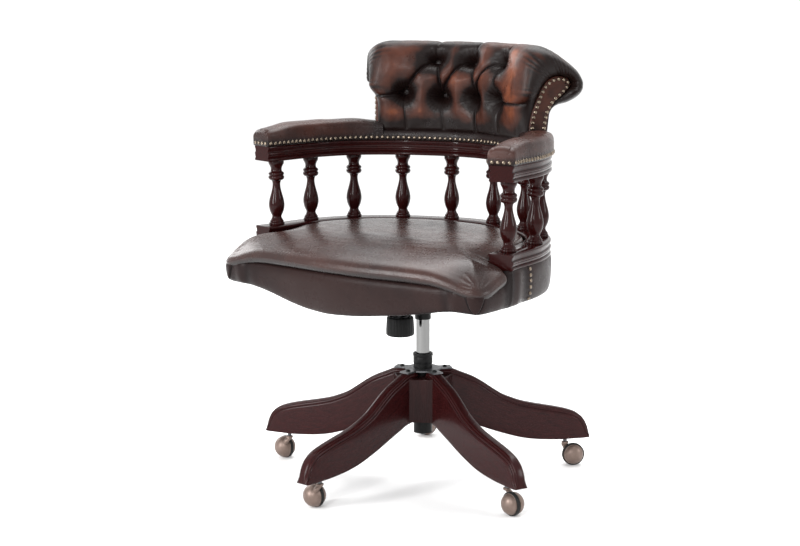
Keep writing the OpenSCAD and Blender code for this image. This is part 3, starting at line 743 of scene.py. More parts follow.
for i, j, bow in ((0, 0, 0.06), (1, 0, -0.05), (1, 1, 0.10), (2, 1, -0.08), (2, 2, 0.16), (3, 2, 0.10)):
    curve_seg(low[i], upp[j], bow, 0.0075, 0.016)
curve_seg(low[2], (low[2][0] + 0.004, 0.0), 0.0, 0.0050, 0.012)
curve_seg(low[0], (low[0][0] - 0.002, 0.010), 0.0, 0.0022, 0.016)
curve_seg(low[1], (low[1][0] + 0.002, 0.010), 0.0, 0.0022, 0.016)
curve_seg(low[3], (low[3][0] + 0.004, 0.010), 0.0, 0.0022, 0.016)
curve_seg(upp[1], (upp[1][0] + 0.020, upp[1][1] + 0.10), -0.08, 0.0045, 0.014)
curve_seg((upp[1][0] + 0.020, upp[1][1] + 0.10), (upp[1][0] + 0.024, V_TOP), 0.0, 0.0035, 0.014)
curve_seg(upp[2], (upp[2][0] + 0.034, upp[2][1] + 0.10), -0.10, 0.0050, 0.014)
curve_seg((upp[2][0] + 0.034, upp[2][1] + 0.10), (upp[2][0] + 0.040, V_TOP), 0.0, 0.0035, 0.014)
curve_seg(upp[0], (upp[0][0] - 0.012, V_TOP), 0.03, 0.0026, 0.014)
ends = S_END * (1 - 0.03 / Rr)
curve_seg(low[0], (-ends, v_at(0.752)), 0.02, 0.0050, 0.010)
curve_seg(low[3], (ends, v_at(0.752)), -0.02, 0.0050, 0.010)


def seg_dist(px, py, a, b):
    ab = b - a
    t = np.clip(((px - a[0]) * ab[0] + (py - a[1]) * ab[1]) / (ab @ ab + 1e-12), 0, 1)
    return np.hypot(px - a[0] - t * ab[0], py - a[1] - t * ab[1])


depth = np.zeros(Sx.shape)
line = np.zeros(Sx.shape)
for a, b, dep, wid in SEGS:
    dist = seg_dist(Sx, Vy, a, b)
    x = np.clip(dist / wid, 0, 1)
    f = dep * (1 - np.sqrt(np.maximum(0, 1 - (1 - x) ** 2)))
    depth = np.maximum(depth, f)
    line = np.maximum(line, np.exp(-(dist / 0.0021) ** 2) * min(1.0, dep / 0.006))
gath = np.zeros(Sx.shape)
hole = np.zeros(Sx.shape)
for q, (bx, by) in enumerate(low + upp):
    r = np.hypot(Sx - bx, Vy - by)
    th = np.arctan2(Vy - by, Sx - bx)
    hole = np.maximum(hole, 0.024 * np.exp(-(r / 0.0130) ** 2) + 0.011 * np.exp(-(r / 0.030) ** 2))
    amp = np.exp(-((r - 0.0155) / 0.010) ** 2) * (0.75 + 0.25 * np.sin(2 * th + q))
    gath += amp * (np.abs(np.sin(12 * th + 0.8 * np.sin(3 * th + q) + 0.5 * np.sin(7 * th + 2 * q))) - 0.6) * 0.0027
puff = 0.0042
depth_all = np.maximum(depth, 0) + hole
side_w = sm(0.0, 0.03, ell)[:, None]
disp = (-depth_all + puff * (1 - np.clip(depth_all / 0.010, 0, 1)) + gath - 0.0016 * line) * side_w
# only the front, the top and the scroll carry the tufting, it fades down the back
vf = 1 - sm(V_TOP - 0.03, V_TOP + 0.02, Vy)
vf2 = sm(0.0, 0.012, Vy)
disp = disp * vf * vf2
# gathers round the scroll head at both ends
rip = np.abs(np.sin(math.pi * Vy / 0.0125 + 1.3 * np.sin(Vy * 47) + 0.8 * np.sin(Vy * 113)))
reach = 0.010 + 0.007 * np.sin(Vy * 83) + 0.006 * np.sin(Vy * 31 + 1)
g_end = np.exp(-((ell[:, None] - 0.009) / reach) ** 2) * sm(0.06, 0.11, Vy) * (1 - sm(VTOT - 0.10, VTOT - 0.05, Vy))
disp = disp + g_end * (rip - 0.62) * 0.0009
# slow unevenness of the hide
flat = front.reshape(-1, 3)
nz = vnoise(flat, 22, 3.1).reshape(Sx.shape)
nz2 = vnoise(flat, 70, 9.4).reshape(Sx.shape)
disp = disp + (nz * 0.0012 + nz2 * 0.0004) * side_w * vf2
front2 = front + nn * disp[:, :, None]
# painted shade in the tuft hollows, the sunk lines and the seams; near the ends an even 0.35 of it
roll_painted_shading = np.clip(1.0 * hole / 0.012, 0, 1.0) * vf + 0.30 * np.clip(depth / 0.008, 0, 1) * vf + 0.55 * line * vf
roll_painted_shading = roll_painted_shading * side_w + (1 - side_w) * 0.35
# painted shade at the foot of the roll, in the roll's own shadow, and under the scroll; a little darker along the top
# as well
roll_painted_shading = np.clip(roll_painted_shading + 0.95 * (1 - sm(0.668, 0.724, front[:, :, 2] + 0.008 * nz + 0.003 * nz2)) + 0.35 * np.broadcast_to(sm(VTOT - 0.17, VTOT - 0.08, Vy), Vy.shape) + 0.20 * sm(0.846, 0.856, front[:, :, 2]), 0, 1.1)
# painted shade in the troughs of the end gathers, painted light on their ridges, and painted shade where the roll turns
# into the facing
roll_painted_shading = roll_painted_shading + g_end * (0.62 - rip) * 0.35 + 0.35 * np.exp(-(ell / 0.020) ** 2)[:, None]
# underside strip
und = front2[:, -1:, :] * (1 - bt[None, :, None]) + front2[:, :1, :] * bt[None, :, None]
R = np.concatenate([front2, und], 1)
# the underside strip is painted fully dark: painted shade
roll_shading_with_underside = np.concatenate([roll_painted_shading, np.ones((NU, bottom))], 1).ravel()
ob = closed_sweep("back_roll", R, "back", "seat", ["back_cushion"], painted_shading=np.clip(roll_shading_with_underside, 0, 1.2))
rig.padded(ob, 0.85)

# covered buttons, sunk in the hollows and painted fully dark like them: painted shade
verts, faces = [], []
for bx, by in low + upp:
    i = np.argmin(np.abs(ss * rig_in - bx)); j = np.argmin(np.abs(tv - by))
    p, n = front2[i, j], nn[i, j]
    t1 = np.cross(n, (0, 0, 1)); t1 /= np.linalg.norm(t1); t2 = np.cross(n, t1)
    base = len(verts)
    pr = [(0.0096, -0.004), (0.0100, 0.0005), (0.0092, 0.0030), (0.0070, 0.0048), (0.0040, 0.0058), (0.0012, 0.0061)]
    for r_, h_ in pr:
        for q in range(20):
            a_ = 2 * math.pi * q / 20
            verts.append(p + t1 * r_ * math.cos(a_) + t2 * r_ * math.sin(a_) + n * h_)
    for a_ in range(len(pr) - 1):
        for q in range(20):
            faces.append((base + a_ * 20 + q, base + a_ * 20 + (q + 1) % 20, base + (a_ + 1) * 20 + (q + 1) % 20, base + (a_ + 1) * 20 + q))
    faces.append(tuple(base + (len(pr) - 1) * 20 + q for q in range(20)))
    faces.append(tuple(base + q for q in range(19, -1, -1)))
add("back_buttons_covered", verts, faces, "back", "seat", ["back_buttons"], None, True, np.full(len(verts), 1.0))

# facings: slightly crowned end panels
NAILD = 0.0045


def facing(side):
    u_e = 8.5 if side > 0 else 3.5
    c, t, n = at_u([u_e]); c, t, n = c[0], t[0] * side, n[0]
    ring = resample(np.vstack([crom(FAC, 6), FAC[:1]]), 161)[:-1]
    cen = np.array([0.020, 0.752])
    # a spine keeps the inner rings inside the comma shape
    rings = []
    for lvl, (k, h) in enumerate([(1.0, -0.004), (1.0, 0.0012), (0.975, 0.0030), (0.93, 0.0038), (0.86, 0.0040), (0.74, 0.0044), (0.6, 0.0048)]):
        # move towards the spine by distance, not by scale
        d_in = (1 - k) * 0.030
        P = ring.copy()
        tang = np.roll(P, -1, 0) - np.roll(P, 1, 0); tang /= np.linalg.norm(tang, axis=1)[:, None]
        nrm = np.stack([-tang[:, 1], tang[:, 0]], 1)
        area = 0.5 * np.sum(P[:, 0] * np.roll(P[:, 1], -1) - np.roll(P[:, 0], -1) * P[:, 1])
        if area < 0:
            nrm = -nrm
        Q = P + nrm * d_in
        for _ in range(int(4 + 40 * (1 - k))):
            Q = (np.roll(Q, 1, 0) + Q + np.roll(Q, -1, 0)) / 3
        rings.append(np.stack([c[0] + n[0] * Q[:, 0] + t[0] * h, c[1] + n[1] * Q[:, 0] + t[1] * h, Q[:, 1]], 1))
    R = np.array(rings)
    nv = R.shape[1]
    verts = list(R.reshape(-1, 3))
    faces = grid_faces(len(R), nv, False, True)
    # close the middle by pairing points across the strip
    base = (len(R) - 1) * nv
    a_, b_ = 0, nv - 1
    while b_ - a_ > 2:
        faces.append((base + a_, base + a_ + 1, base + b_ - 1, base + b_))
        a_, b_ = a_ + 1, b_ - 1
    a_, b_ = 0, nv - 1
    while b_ - a_ > 2:
        faces.append((a_, b_, b_ - 1, a_ + 1))
        a_, b_ = a_ + 1, b_ - 1
    nm = "left" if side > 0 else "right"
    return add("back_facing_%s_panel" % nm, verts, faces, "back", "seat", ["back_facing_%s" % nm], None, True, np.full(len(verts), 0.25))


facing(1); facing(-1)

# ------------------------------------------------------------------ arm pads and the band under the roll
PADS = [(-25.6, 661.3), (-26.6, 664), (-27.3, 669), (-27.6, 676), (-27.5, 684), (-26.6, 690.5), (-24.4, 695.6), (-20.5, 699.0), (-14, 701.3), (-7, 702.4), (0, 702.7)]
PADS = PADS + [(-d, z) for d, z in PADS[-2::-1]]
pad_sec = crom(np.array(PADS, float) / 1000, 5)


def arm_pad(side):
    s0, s1 = S_END - 0.012, ARC0[-1] - S_MID
    n_l = 190
    sl = np.linspace(s0, s1, n_l)
    sl = s1 - (s1 - s0) * ((s1 - sl) / (s1 - s0)) ** 1.0
    # extra rings that turn the front edge
    tail = s1 + np.array([0.0008, 0.0016, 0.0022, 0.0026])
    e = np.clip((s1 + 0.0026 - np.concatenate([sl, tail])) / 0.011, 0, 1)
    w = np.sqrt(1 - (1 - e) ** 2)
    allS = np.concatenate([sl, np.full(4, s1)])
    ext = np.concatenate([np.zeros(n_l), tail - s1])
    us = u_of_s(side * allS)
    d = pad_sec[None, :, 0] * (1 - 0.10 * (1 - w))[:, None]
    z = 0.6613 + (pad_sec[None, :, 1] - 0.6613) * (1 - 0.30 * (1 - w))[:, None]
    # lower at the front and where the arm runs under the roll, fullest halfway
    up = 0.0025 - 0.0095 * sm(s1 - 0.085, s1, allS) ** 1.3 - 0.0045 * (1 - sm(s0 + 0.01, s0 + 0.07, allS))
    z = z + up[:, None] * sm(0.672, 0.70, z)
    c, t, n = at_u(us)
    p = c[:, None, :] + n[:, None, :] * d[:, :, None] + (t * side * 1.0)[:, None, :] * ext[:, None, None]
    R = np.concatenate([p, z[:, :, None]], 2)
    # soft unevenness and small puckers above the nails
    flat = R.reshape(-1, 3)
    nz = vnoise(flat, 26, 5.0).reshape(z.shape)
    L = np.broadcast_to(allS[:, None], z.shape)
    puck = np.exp(-((z - 0.6725) / 0.004) ** 2) * np.cos(2 * math.pi * L / 0.011) * 0.00025
    cen = np.concatenate([c, np.full((len(c), 1), 0.675)], 1)[:, None, :]
    out = R - cen
    out[:, :, 2] *= 0.8
    out /= np.linalg.norm(out, axis=2)[:, :, None]
    R = R + out * ((nz * 0.0010 + puck) * sm(0.661, 0.668, z))[:, :, None]
    # pleat folded at both front corners
    for sg in (-1, 1):
        foldz = np.exp(-((d - sg * 0.0175) / 0.0016) ** 2) * sm(s1 - 0.016, s1, L + ext[:, None]) * sm(0.664, 0.672, z)
        R = R - out * (foldz * 0.0022)[:, :, None]
    # painted shade down the lower sides by the nails and where the pad runs under the roll, painted light along the top
    pad_painted_shading = 0.55 * (1 - sm(0.664, 0.680, z)) + 0.45 * (1 - sm(s0 + 0.005, s0 + 0.05, L)) - 0.15 * sm(0.694, 0.701, z)
    nm = "left" if side > 0 else "right"
    if side < 0:
        R = R[::-1]; pad_painted_shading = pad_painted_shading[::-1]
    ob = closed_sweep("arm_pad_%s_leather" % nm, R, "pad", "seat", ["arm_pad_%s" % nm], painted_shading=pad_painted_shading.ravel())
    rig.padded(ob, 0.8)
    return ob


arm_pad(1); arm_pad(-1)

BANDS = [(-25.6, 661.3), (-26.6, 664), (-27.2, 668.5), (-27.0, 673.5), (-25.2, 678.5), (-22.0, 681.8), (-17.5, 683.4), (-12, 684.0), (0, 684.2)]
BANDS = BANDS + [(-d, z) for d, z in BANDS[-2::-1]]
bsec = crom(np.array(BANDS, float) / 1000, 4)
us = u_of_s(np.linspace(-S_END + 0.002, S_END - 0.002, 220))
d = np.repeat(bsec[None, :, 0], len(us), 0); z = np.repeat(bsec[None, :, 1], len(us), 0)
R = sweep_points(us, d, z)
nz = vnoise(R.reshape(-1, 3), 26, 5.0).reshape(z.shape)
R[:, :, 2] += nz * 0.0006 * sm(0.665, 0.68, z)
# painted shade over the whole band, deepest along its top under the roll
ob = closed_sweep("back_band_leather", R, "pad", "seat", ["back_band"], painted_shading=(0.55 + 0.5 * sm(0.674, 0.682, z)).ravel())
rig.padded(ob, 0.8)

# ------------------------------------------------------------------ seat plan
FRONT = [(0.3130, -0.150), (0.3132, -0.175), (0.3132, -0.200), (0.3128, -0.2180), (0.3105, -0.2315), (0.3045, -0.2415), (0.2930, -0.2480),
         (0.2700, -0.2515), (0.2350, -0.2545), (0.1900, -0.2580), (0.1400, -0.2625), (0.0700, -0.2680), (0.0, -0.2700)]


def outline():
    P = CP + NR * 0.02425
    back = resample(P, 400)
    fr = np.array(FRONT + [(-x, y) for x, y in FRONT[-2::-1]])
    fr = resample(crom(fr, 8), 400)
    return np.vstack([back, fr[1:-1]])


def ring_normals(P, soft=3):
    t = np.roll(P, -1, 0) - np.roll(P, 1, 0)
    for _ in range(soft):
        t = (np.roll(t, 1, 0) + t + np.roll(t, -1, 0)) / 3
    t /= np.linalg.norm(t, axis=1)[:, None]
    n = np.stack([-t[:, 1], t[:, 0]], 1)
    if np.sum(n * (P - P.mean(0))) < 0:
        n = -n
    return n


OUT = outline()
OUT = resample(np.vstack([OUT, OUT[:1]]), 1301)[:-1]
ON = ring_normals(OUT, 6)
X, Y = OUT[:, 0], OUT[:, 1]
frontness = sm(-0.150, -0.168, Y)                     # 0 at the sides and back, 1 where the cushion rolls over
corner = np.exp(-((np.abs(X) - 0.305) / 0.030) ** 2) * np.exp(-((Y + 0.238) / 0.030) ** 2)
# the lower edge of the front, as height against x
BIBX = np.array([-0.320, -0.300, -0.267, -0.245, -0.2246, -0.194, -0.163, -0.132, -0.092, -0.045, 0.0, 0.041, 0.100, 0.131, 0.165, 0.196, 0.217, 0.240, 0.261, 0.290, 0.320])
BIBZ = np.array([0.4000, 0.3990, 0.3990, 0.3990, 0.3966, 0.3910, 0.3826, 0.3741, 0.3666, 0.3633, 0.3655, 0.3690, 0.3770, 0.3812, 0.3870, 0.3925, 0.3980, 0.4015, 0.4030, 0.4015, 0.4000])
bx = np.linspace(-0.32, 0.32, 321)
bz = np.interp(bx, BIBX, BIBZ)
for _ in range(60):
    bz[1:-1] = (bz[:-2] + bz[1:-1] + bz[2:]) / 3
drop = np.where(Y < -0.22, 0.4003 - np.interp(X, bx, bz), 0.0)
bib = np.clip(drop / 0.035, 0, 1)
SIDE = np.array([(-9, 471.0), (-3.0, 470.0), (-0.6, 466), (0.7, 458), (1.1, 446), (1.0, 434), (0.5, 422), (-1.0, 411.5), (-3.6, 405.2), (-8.0, 401.8), (-15, 400.5), (-30, 400.3), (-62, 401.4)], float) / 1000
FRNT = np.array([(-15, 449.0), (-9.0, 447.8), (-4.5, 445.2), (-1.8, 441), (-0.6, 434), (-0.6, 425), (-1.4, 416), (-3.2, 409), (-6.0, 404.0), (-10.0, 401.4), (-17, 400.4), (-36, 400.5), (-62, 401.4)], float) / 1000
ps, pf = crom(SIDE, 6), crom(FRNT, 6)
NP = len(ps)
o = ps[None, :, 0] * (1 - frontness[:, None]) + pf[None, :, 0] * frontness[:, None]
z = ps[None, :, 1] * (1 - frontness[:, None]) + pf[None, :, 1] * frontness[:, None]
j = np.arange(NP) / (NP - 1)
hang = sm(0.10, 0.74, j) * (1 - sm(0.86, 1.0, j))
z = z - drop[:, None] * hang[None, :]
z = z - (0.010 * corner * frontness)[:, None] * (1 - sm(0.10, 0.45, j))[None, :]
o = o - bib[:, None] * (0.014 * sm(0.22, 0.75, j))[None, :]
P = OUT[:, None, :] + ON[:, None, :] * o[:, :, None]
R = np.concatenate([P, z[:, :, None]], 2)
Lr = np.concatenate([[0], np.cumsum(np.linalg.norm(np.diff(OUT, axis=0), axis=1))])
vert = sm(0.02, 0.25, j)[None, :] * (1 - sm(0.66, 0.86, j))[None, :]
# soft upright folds behind each front corner
fold = np.exp(-((Y + 0.125) / 0.042) ** 2) * (np.abs(X) > 0.2) * (np.cos((Y + 0.118) / 0.0120) - 0.25) * 0.0030
fold2 = np.exp(-((np.abs(X) - 0.255) / 0.026) ** 2) * (Y < -0.2) * 0.0016 * np.cos((np.abs(X) - 0.262) / 0.0075)
nz = vnoise(R.reshape(-1, 3), 16, 1.7).reshape(z.shape)
dd = (fold + fold2)[:, None] * vert + nz * 0.0016 * vert
# the folded flap on each front corner: a U shape, raised, with a sunk line round it painted dark as shade
# painted shade in the fold troughs, towards the bottom of the border and along its top edge
border_painted_shading = np.clip(-(fold + fold2)[:, None] / 0.003, 0, 1) * vert * 0.45 + 0.35 * sm(0.60, 0.80, j)[None, :] + 0.40 * (1 - sm(0.0, 0.10, j))[None, :]
for sg in (-1, 1):
    ic = int(np.argmin(np.hypot(X - sg * 0.3010, Y + 0.2440)))
    q = (Lr[:, None] - Lr[ic]) * np.ones_like(z)
    hh = np.clip((z - 0.4035) / 0.042, 0, 1)
    wid = 0.0205 * np.sqrt(np.clip(hh, 0, 1)) ** 0.9
    sd = wid - np.abs(q)
    flap = sm(-0.0015, 0.0022, sd) * (np.abs(q) < 0.06)
    line = np.exp(-((sd + 0.0012) / 0.0013) ** 2) * (np.abs(q) < 0.06) * (hh > 0.02)
    dd = dd + (flap * 0.0026 - line * 0.0012) * vert ** 0.5
    # painted shade on the line round the flap, painted light on the raised flap
    border_painted_shading = border_painted_shading + line * 0.9 * vert ** 0.5 - 0.10 * flap
R[:, :, 0] += ON[:, None, 0] * dd; R[:, :, 1] += ON[:, None, 1] * dd
BR = R.copy()
nu = len(OUT)
verts = np.vstack([R.reshape(-1, 3), [[0, 0.0, 0.4016]], [[0, 0, 0.455]]])
faces = grid_faces(nu, NP, True, False)
cb, ct = nu * NP, nu * NP + 1
for i in range(nu):
    i2 = (i + 1) % nu
    faces.append((i * NP + NP - 1, i2 * NP + NP - 1, cb))
    faces.append((i * NP, ct, i2 * NP))
border = add("seat_border_leather", verts, faces, "seat_side_shaded", "seat", ["seat_border"], None, True, np.concatenate([np.clip(border_painted_shading, 0, 1.1).ravel(), [1, 1]]))
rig.padded(border, 0.8)

# ------------------------------------------------------------------ seat cushion
IN = resample(CP + NR * -0.0250, 300)
CF = [(0.2665, -0.1575), (0.2850, -0.1575), (0.3020, -0.1575), (0.3110, -0.1600), (0.3148, -0.1680), (0.3155, -0.1850), (0.3155, -0.2050), (0.3145, -0.2200), (0.3105, -0.2340),
      (0.3035, -0.2440), (0.2910, -0.2510), (0.2650, -0.2552), (0.2350, -0.2582), (0.1900, -0.2622), (0.1400, -0.2672), (0.0700, -0.2735), (0.0, -0.2760)]
CF = np.array(CF + [(-x, y) for x, y in CF[-2::-1]])
CFs = resample(crom(CF, 6), 500)
LOOP = np.vstack([IN, CFs])
LOOP = resample(np.vstack([LOOP, LOOP[:1]]), 901)[:-1]
CEN = np.array([0.0, -0.175])
LN = ring_normals(LOOP, 8)
FC = crom(CF, 40)
FC = resample(FC[FC[:, 1] < -0.158], 1000)
INC = resample(CP + NR * -0.0250, 600)
DF_E = np.array([0, 1, 3, 7, 12, 20, 30, 40, 50, 65, 80, 100, 125, 150, 900], float) / 1000
DF_Z = np.array([43.5, 38.5, 34.5, 30.0, 27.0, 23.8, 20.6, 17.8, 15.0, 11.0, 7.6, 4.4, 2.0, 0.6, 0], float) / 1000
DC_E = np.array([0, 2, 5, 10, 20, 30, 40, 50, 60, 75, 90, 900], float) / 1000
DC_Z = np.array([66, 61, 56, 50.5, 40.5, 31.5, 23.5, 16.5, 11.0, 5.0, 1.5, 0], float) / 1000


def smooth_table(e, z, n=400, k=10):
    x = np.linspace(0, 0.16, n)
    y = np.interp(x, e, z)
    y0 = y.copy()
    for _ in range(k):
        y[1:-1] = (y[:-2] + y[1:-1] + y[2:]) / 3
    return x, y


TF, TC = smooth_table(DF_E, DF_Z), smooth_table(DC_E, DC_Z)


def near(P, C):
    out = np.empty(len(P))
    c2 = (C ** 2).sum(1)
    for a in range(0, len(P), 4000):
        q = P[a:a + 4000]
        out[a:a + 4000] = np.sqrt(np.maximum(((q ** 2).sum(1)[:, None] - 2 * q @ C.T + c2[None, :]).min(1), 0))
    return out


def cushion_top(P):
    x, y = P[:, 0], P[:, 1]
    ef, eb = near(P, FC), near(P, INC)
    wc = np.exp(-(((np.abs(x) - 0.300) / 0.060) ** 2 + ((y + 0.232) / 0.050) ** 2))
    side = sm(-0.170, -0.158, y) * (np.abs(x) > 0.24)
    dz = np.interp(ef, *TF) * (1 - wc) + np.interp(ef, *TC) * wc
    back = 0.0100 * (1 - sm(0.0, 0.010, eb)) + 0.0035 * (1 - sm(0.0, 0.05, eb))
    back = back * (y > -0.150)
    return 0.5045 - dz * 1.0 - back - 0.002 * sm(0.05, 0.16, y)


rings = []
inner_loop = LOOP - LN * 0.0145
ks = np.linspace(0, 1, 64)[1:]
for k in ks:
    rings.append(CEN + (inner_loop - CEN) * k)
for e in (12, 10, 8, 6.3, 4.8, 3.5, 2.4, 1.5, 0.8, 0.3, 0.0):
    rings.append(LOOP - LN * (e / 1000))
zz = [cushion_top(P) for P in rings]
isf = (LOOP[:, 1] < -0.157).astype(float)
for _ in range(6):
    isf = (np.roll(isf, 1) + isf + np.roll(isf, -1)) / 3
for e, dz in ((0.2, 2.5), (0.8, 5.5), (1.8, 8.2), (3.4, 10.6), (6.0, 12.4), (10.0, 13.4), (13.0, 13.2)):
    rings.append(LOOP - LN * (e / 1000) * (0.35 + 0.65 * isf)[:, None])
    zz.append(zz[73] - dz / 1000 * (0.9 + 0.1 * isf))
R = np.concatenate([np.array(rings), np.array(zz)[:, :, None]], 2)
nr, nl = R.shape[:2]
flat = R.reshape(-1, 3)
nz = vnoise(flat, 6.5, 4.2).reshape(nr, nl); nz2 = vnoise(flat, 22, 8.8).reshape(nr, nl)
R[:, :, 2] += nz * 0.0016 + nz2 * 0.0005
# gathers fanning up from each corner flap
for sg in (-1, 1):
    dx, dy = R[:, :, 0] - sg * 0.306, R[:, :, 1] + 0.241
    rr = np.hypot(dx, dy)
    th = np.arctan2(dy, dx * sg)
    R[:, :, 2] += (np.abs(np.sin(9 * th + 0.7 + 0.8 * np.sin(4 * th))) - 0.6) * 0.0015 * np.exp(-((rr - 0.020) / 0.015) ** 2)
# painted shade on the last rings, where the cushion's edge rolls under
cre = np.zeros((nr, nl)) + 0.7 * sm(nr - 8, nr - 3, np.arange(nr))[:, None]
verts = np.vstack([R.reshape(-1, 3), [[CEN[0], CEN[1], float(R[0, :, 2].mean())]], [[0, -0.05, float(R[-1, :, 2].min())]]])
faces = grid_faces(nr, nl, False, True)
for i in range(nl):
    faces.append((i, (i + 1) % nl, nr * nl))
    faces.append(((nr - 1) * nl + i, (nr - 1) * nl + (i + 1) % nl, nr * nl + 1))
cushion = add("seat_cushion_leather", verts, faces, "seat", "seat", ["seat_cushion"], None, True, np.concatenate([cre.ravel(), [0, 1]]))
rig.padded(cushion, 0.7)

# ------------------------------------------------------------------ nails
verts, faces = [], []
DOME = [(1.0, -0.25), (1.0, 0.0), (0.93, 0.22), (0.78, 0.40), (0.55, 0.54), (0.28, 0.62)]


def nail(p, n, r=0.0038, seg=14):
    p, n = np.array(p, float), np.array(n, float)
    n = n + RNG.normal(0, 0.05, 3); n /= np.linalg.norm(n)
    ref = np.array([0, 0, 1.0]) if abs(n[2]) < 0.9 else np.array([1.0, 0, 0])
    t1 = np.cross(n, ref); t1 /= np.linalg.norm(t1); t2 = np.cross(n, t1)
    base = len(verts)
    for rr, hh in DOME:
        for q in range(seg):
            a = 2 * math.pi * q / seg
            verts.append(p + t1 * rr * r * math.cos(a) + t2 * rr * r * math.sin(a) + n * hh * r)
    verts.append(p + n * 0.66 * r)
    for a in range(len(DOME) - 1):
        for q in range(seg):
            faces.append((base + a * seg + q, base + a * seg + (q + 1) % seg, base + (a + 1) * seg + (q + 1) % seg, base + (a + 1) * seg + q))
    for q in range(seg):
        faces.append((base + (len(DOME) - 1) * seg + q, base + (len(DOME) - 1) * seg + (q + 1) % seg, base + len(DOME) * seg))
    faces.append(tuple(base + q for q in range(seg - 1, -1, -1)))


for dd_, sg in ((-0.0272, -1), (0.0272, 1)):
    L = arc(dd_)
    n_ = int((L[-1] - 0.008) / 0.011)
    for i in range(n_ + 1):
        u = float(np.interp(0.004 + (L[-1] - 0.008) * i / n_, L, US))
        c, t, n = at_u([u])
        p = c[0] + n[0] * dd_
        nail((p[0], p[1], 0.6672 + RNG.normal(0, 0.0003)), (n[0][0] * sg, n[0][1] * sg, 0))
for sg in (-1, 1):
    c, t, n = at_u([12.0 if sg > 0 else 0.0])
    for k in (-1.5, -0.5, 0.5, 1.5):
        p = c[0] + n[0] * k * 0.0115 + t[0] * sg * 0.0026
        nail((p[0], p[1], 0.6672), (t[0][0] * sg, t[0][1] * sg, 0))
    # round each facing
    c, t, n = at_u([8.5 if sg > 0 else 3.5]); c, t, n = c[0], t[0] * sg, n[0]
    FN = np.array([(-4.2, 705), (-3.6, 715), (-0.9, 729), (6.3, 749), (13.4, 769), (24.5, 788), (43.7, 799), (62, 797.5), (69, 788.5), (53.8, 772), (37.5, 757.5), (25.6, 737), (20.8, 716), (19.4, 705)]) / 1000
    FR = crom(FN, 8)
    l = np.concatenate([[0], np.cumsum(np.linalg.norm(np.diff(FR, axis=0), axis=1))])
    m = int(round(l[-1] / 0.0106))
    for i in range(m + 1):
        d_, z_ = np.interp(l[-1] * i / m, l, FR[:, 0]), np.interp(l[-1] * i / m, l, FR[:, 1])
        p = c + n * d_ + t * 0.0042
        nail((p[0], p[1], z_), (t[0], t[1], 0), 0.0038)
    # upright rows that join the front and rear hides of the seat
    i0 = int(np.argmin(np.abs(OUT[:, 1] + 0.072) + 10 * (OUT[:, 0] * sg < 0.2)))
    zs = BR[i0, :48, 2]
    for i in range(6):
        jj = int(np.argmin(np.abs(zs - (0.4075 + 0.0112 * i))))
        v = BR[i0, jj]
        nail(v, (ON[i0, 0], ON[i0, 1], -0.5 if i == 0 else 0.0), 0.0038)
add("nails_brass", verts, faces, "brass", "seat", ["upholstery_nails"])

# ------------------------------------------------------------------ metal and plastic parts made anew
knob_p = [(0, 0), (22.0, 0), (24.5, 0.4), (26.6, 1.4), (27.8, 3.4), (28.0, 6.0), (27.8, 12), (27.2, 24), (26.4, 35.2), (25.6, 37.2), (24.0, 38), (20.2, 38), (20.0, 37), (20.0, 11.0), (0, 11.0)]
kp = np.array(knob_p, float) / 1000
th = np.linspace(0, 2 * np.pi, 240, endpoint=False)
rad = np.repeat(kp[:, 0:1], 240, 1)
flute = (np.maximum(0, np.cos(24 * th)) ** 3)[None, :]
rad = rad - 0.0007 * flute * ((kp[:, 0:1] > 0.0255) & (kp[:, 1:2] > 0.004) & (kp[:, 1:2] < 0.036))
kr = np.stack([rad * np.cos(th), rad * np.sin(th) - 0.074, np.repeat(kp[:, 1:2], 240, 1) + 0.300], 2)
ob = closed_sweep("tension_knob_moulded", kr, "plastic", "knob", ["tension_knob"])
sharp(ob, 55)

bush = [(14.06, 172), (16.4, 172), (16.4, 231.8), (19.0, 231.8), (19.4, 232.6), (19.4, 244.6), (18.9, 245.4), (18.9, 246.2), (20.0, 246.9), (20.2, 248.2), (20.2, 251.6), (19.6, 252.8), (17.6, 253), (16.2, 251.2), (14.6, 250.8), (14.06, 250.2)]
bp = np.array(bush, float) / 1000
th = np.linspace(0, 2 * np.pi, 72, endpoint=False)
rings = np.stack([np.cos(th)[:, None] * bp[None, :, 0], np.sin(th)[:, None] * bp[None, :, 0], np.repeat(bp[None, :, 1], 72, 0)], 2)
ob = closed_sweep("column_bush_collar", rings, "plastic", "base", ["column_bush"], loop_u=True)
sharp(ob, 40)

scr_v, scr_f = [], []
for a in LEG_A:
    a = math.radians(a)
    c = np.array([0.045 * math.cos(a), 0.045 * math.sin(a), 0])
    base = len(scr_v)
    pr = [(0.0, 203), (2.0, 203), (2.0, 222), (4.5, 222), (4.5, 222.9), (3.9, 224.1), (2.6, 224.9), (1.5, 225.1), (1.2, 224.2), (0.0, 224.2)]
    for r_, h_ in pr:
        for q in range(20):
            scr_v.append((c[0] + r_ / 1000 * math.cos(q * math.pi / 10), c[1] + r_ / 1000 * math.sin(q * math.pi / 10), h_ / 1000))
    for x in range(len(pr) - 1):
        for q in range(20):
            scr_f.append((base + x * 20 + q, base + x * 20 + (q + 1) % 20, base + (x + 1) * 20 + (q + 1) % 20, base + (x + 1) * 20 + q))
ob = add("plate_screws_pan", scr_v, scr_f, "black_steel", "base", ["plate_screws"])
bm = bmesh.new(); bm.from_mesh(ob.data)
bmesh.ops.remove_doubles(bm, verts=bm.verts, dist=1e-6)
bm.to_mesh(ob.data); bm.free()
sharp(ob, 35)

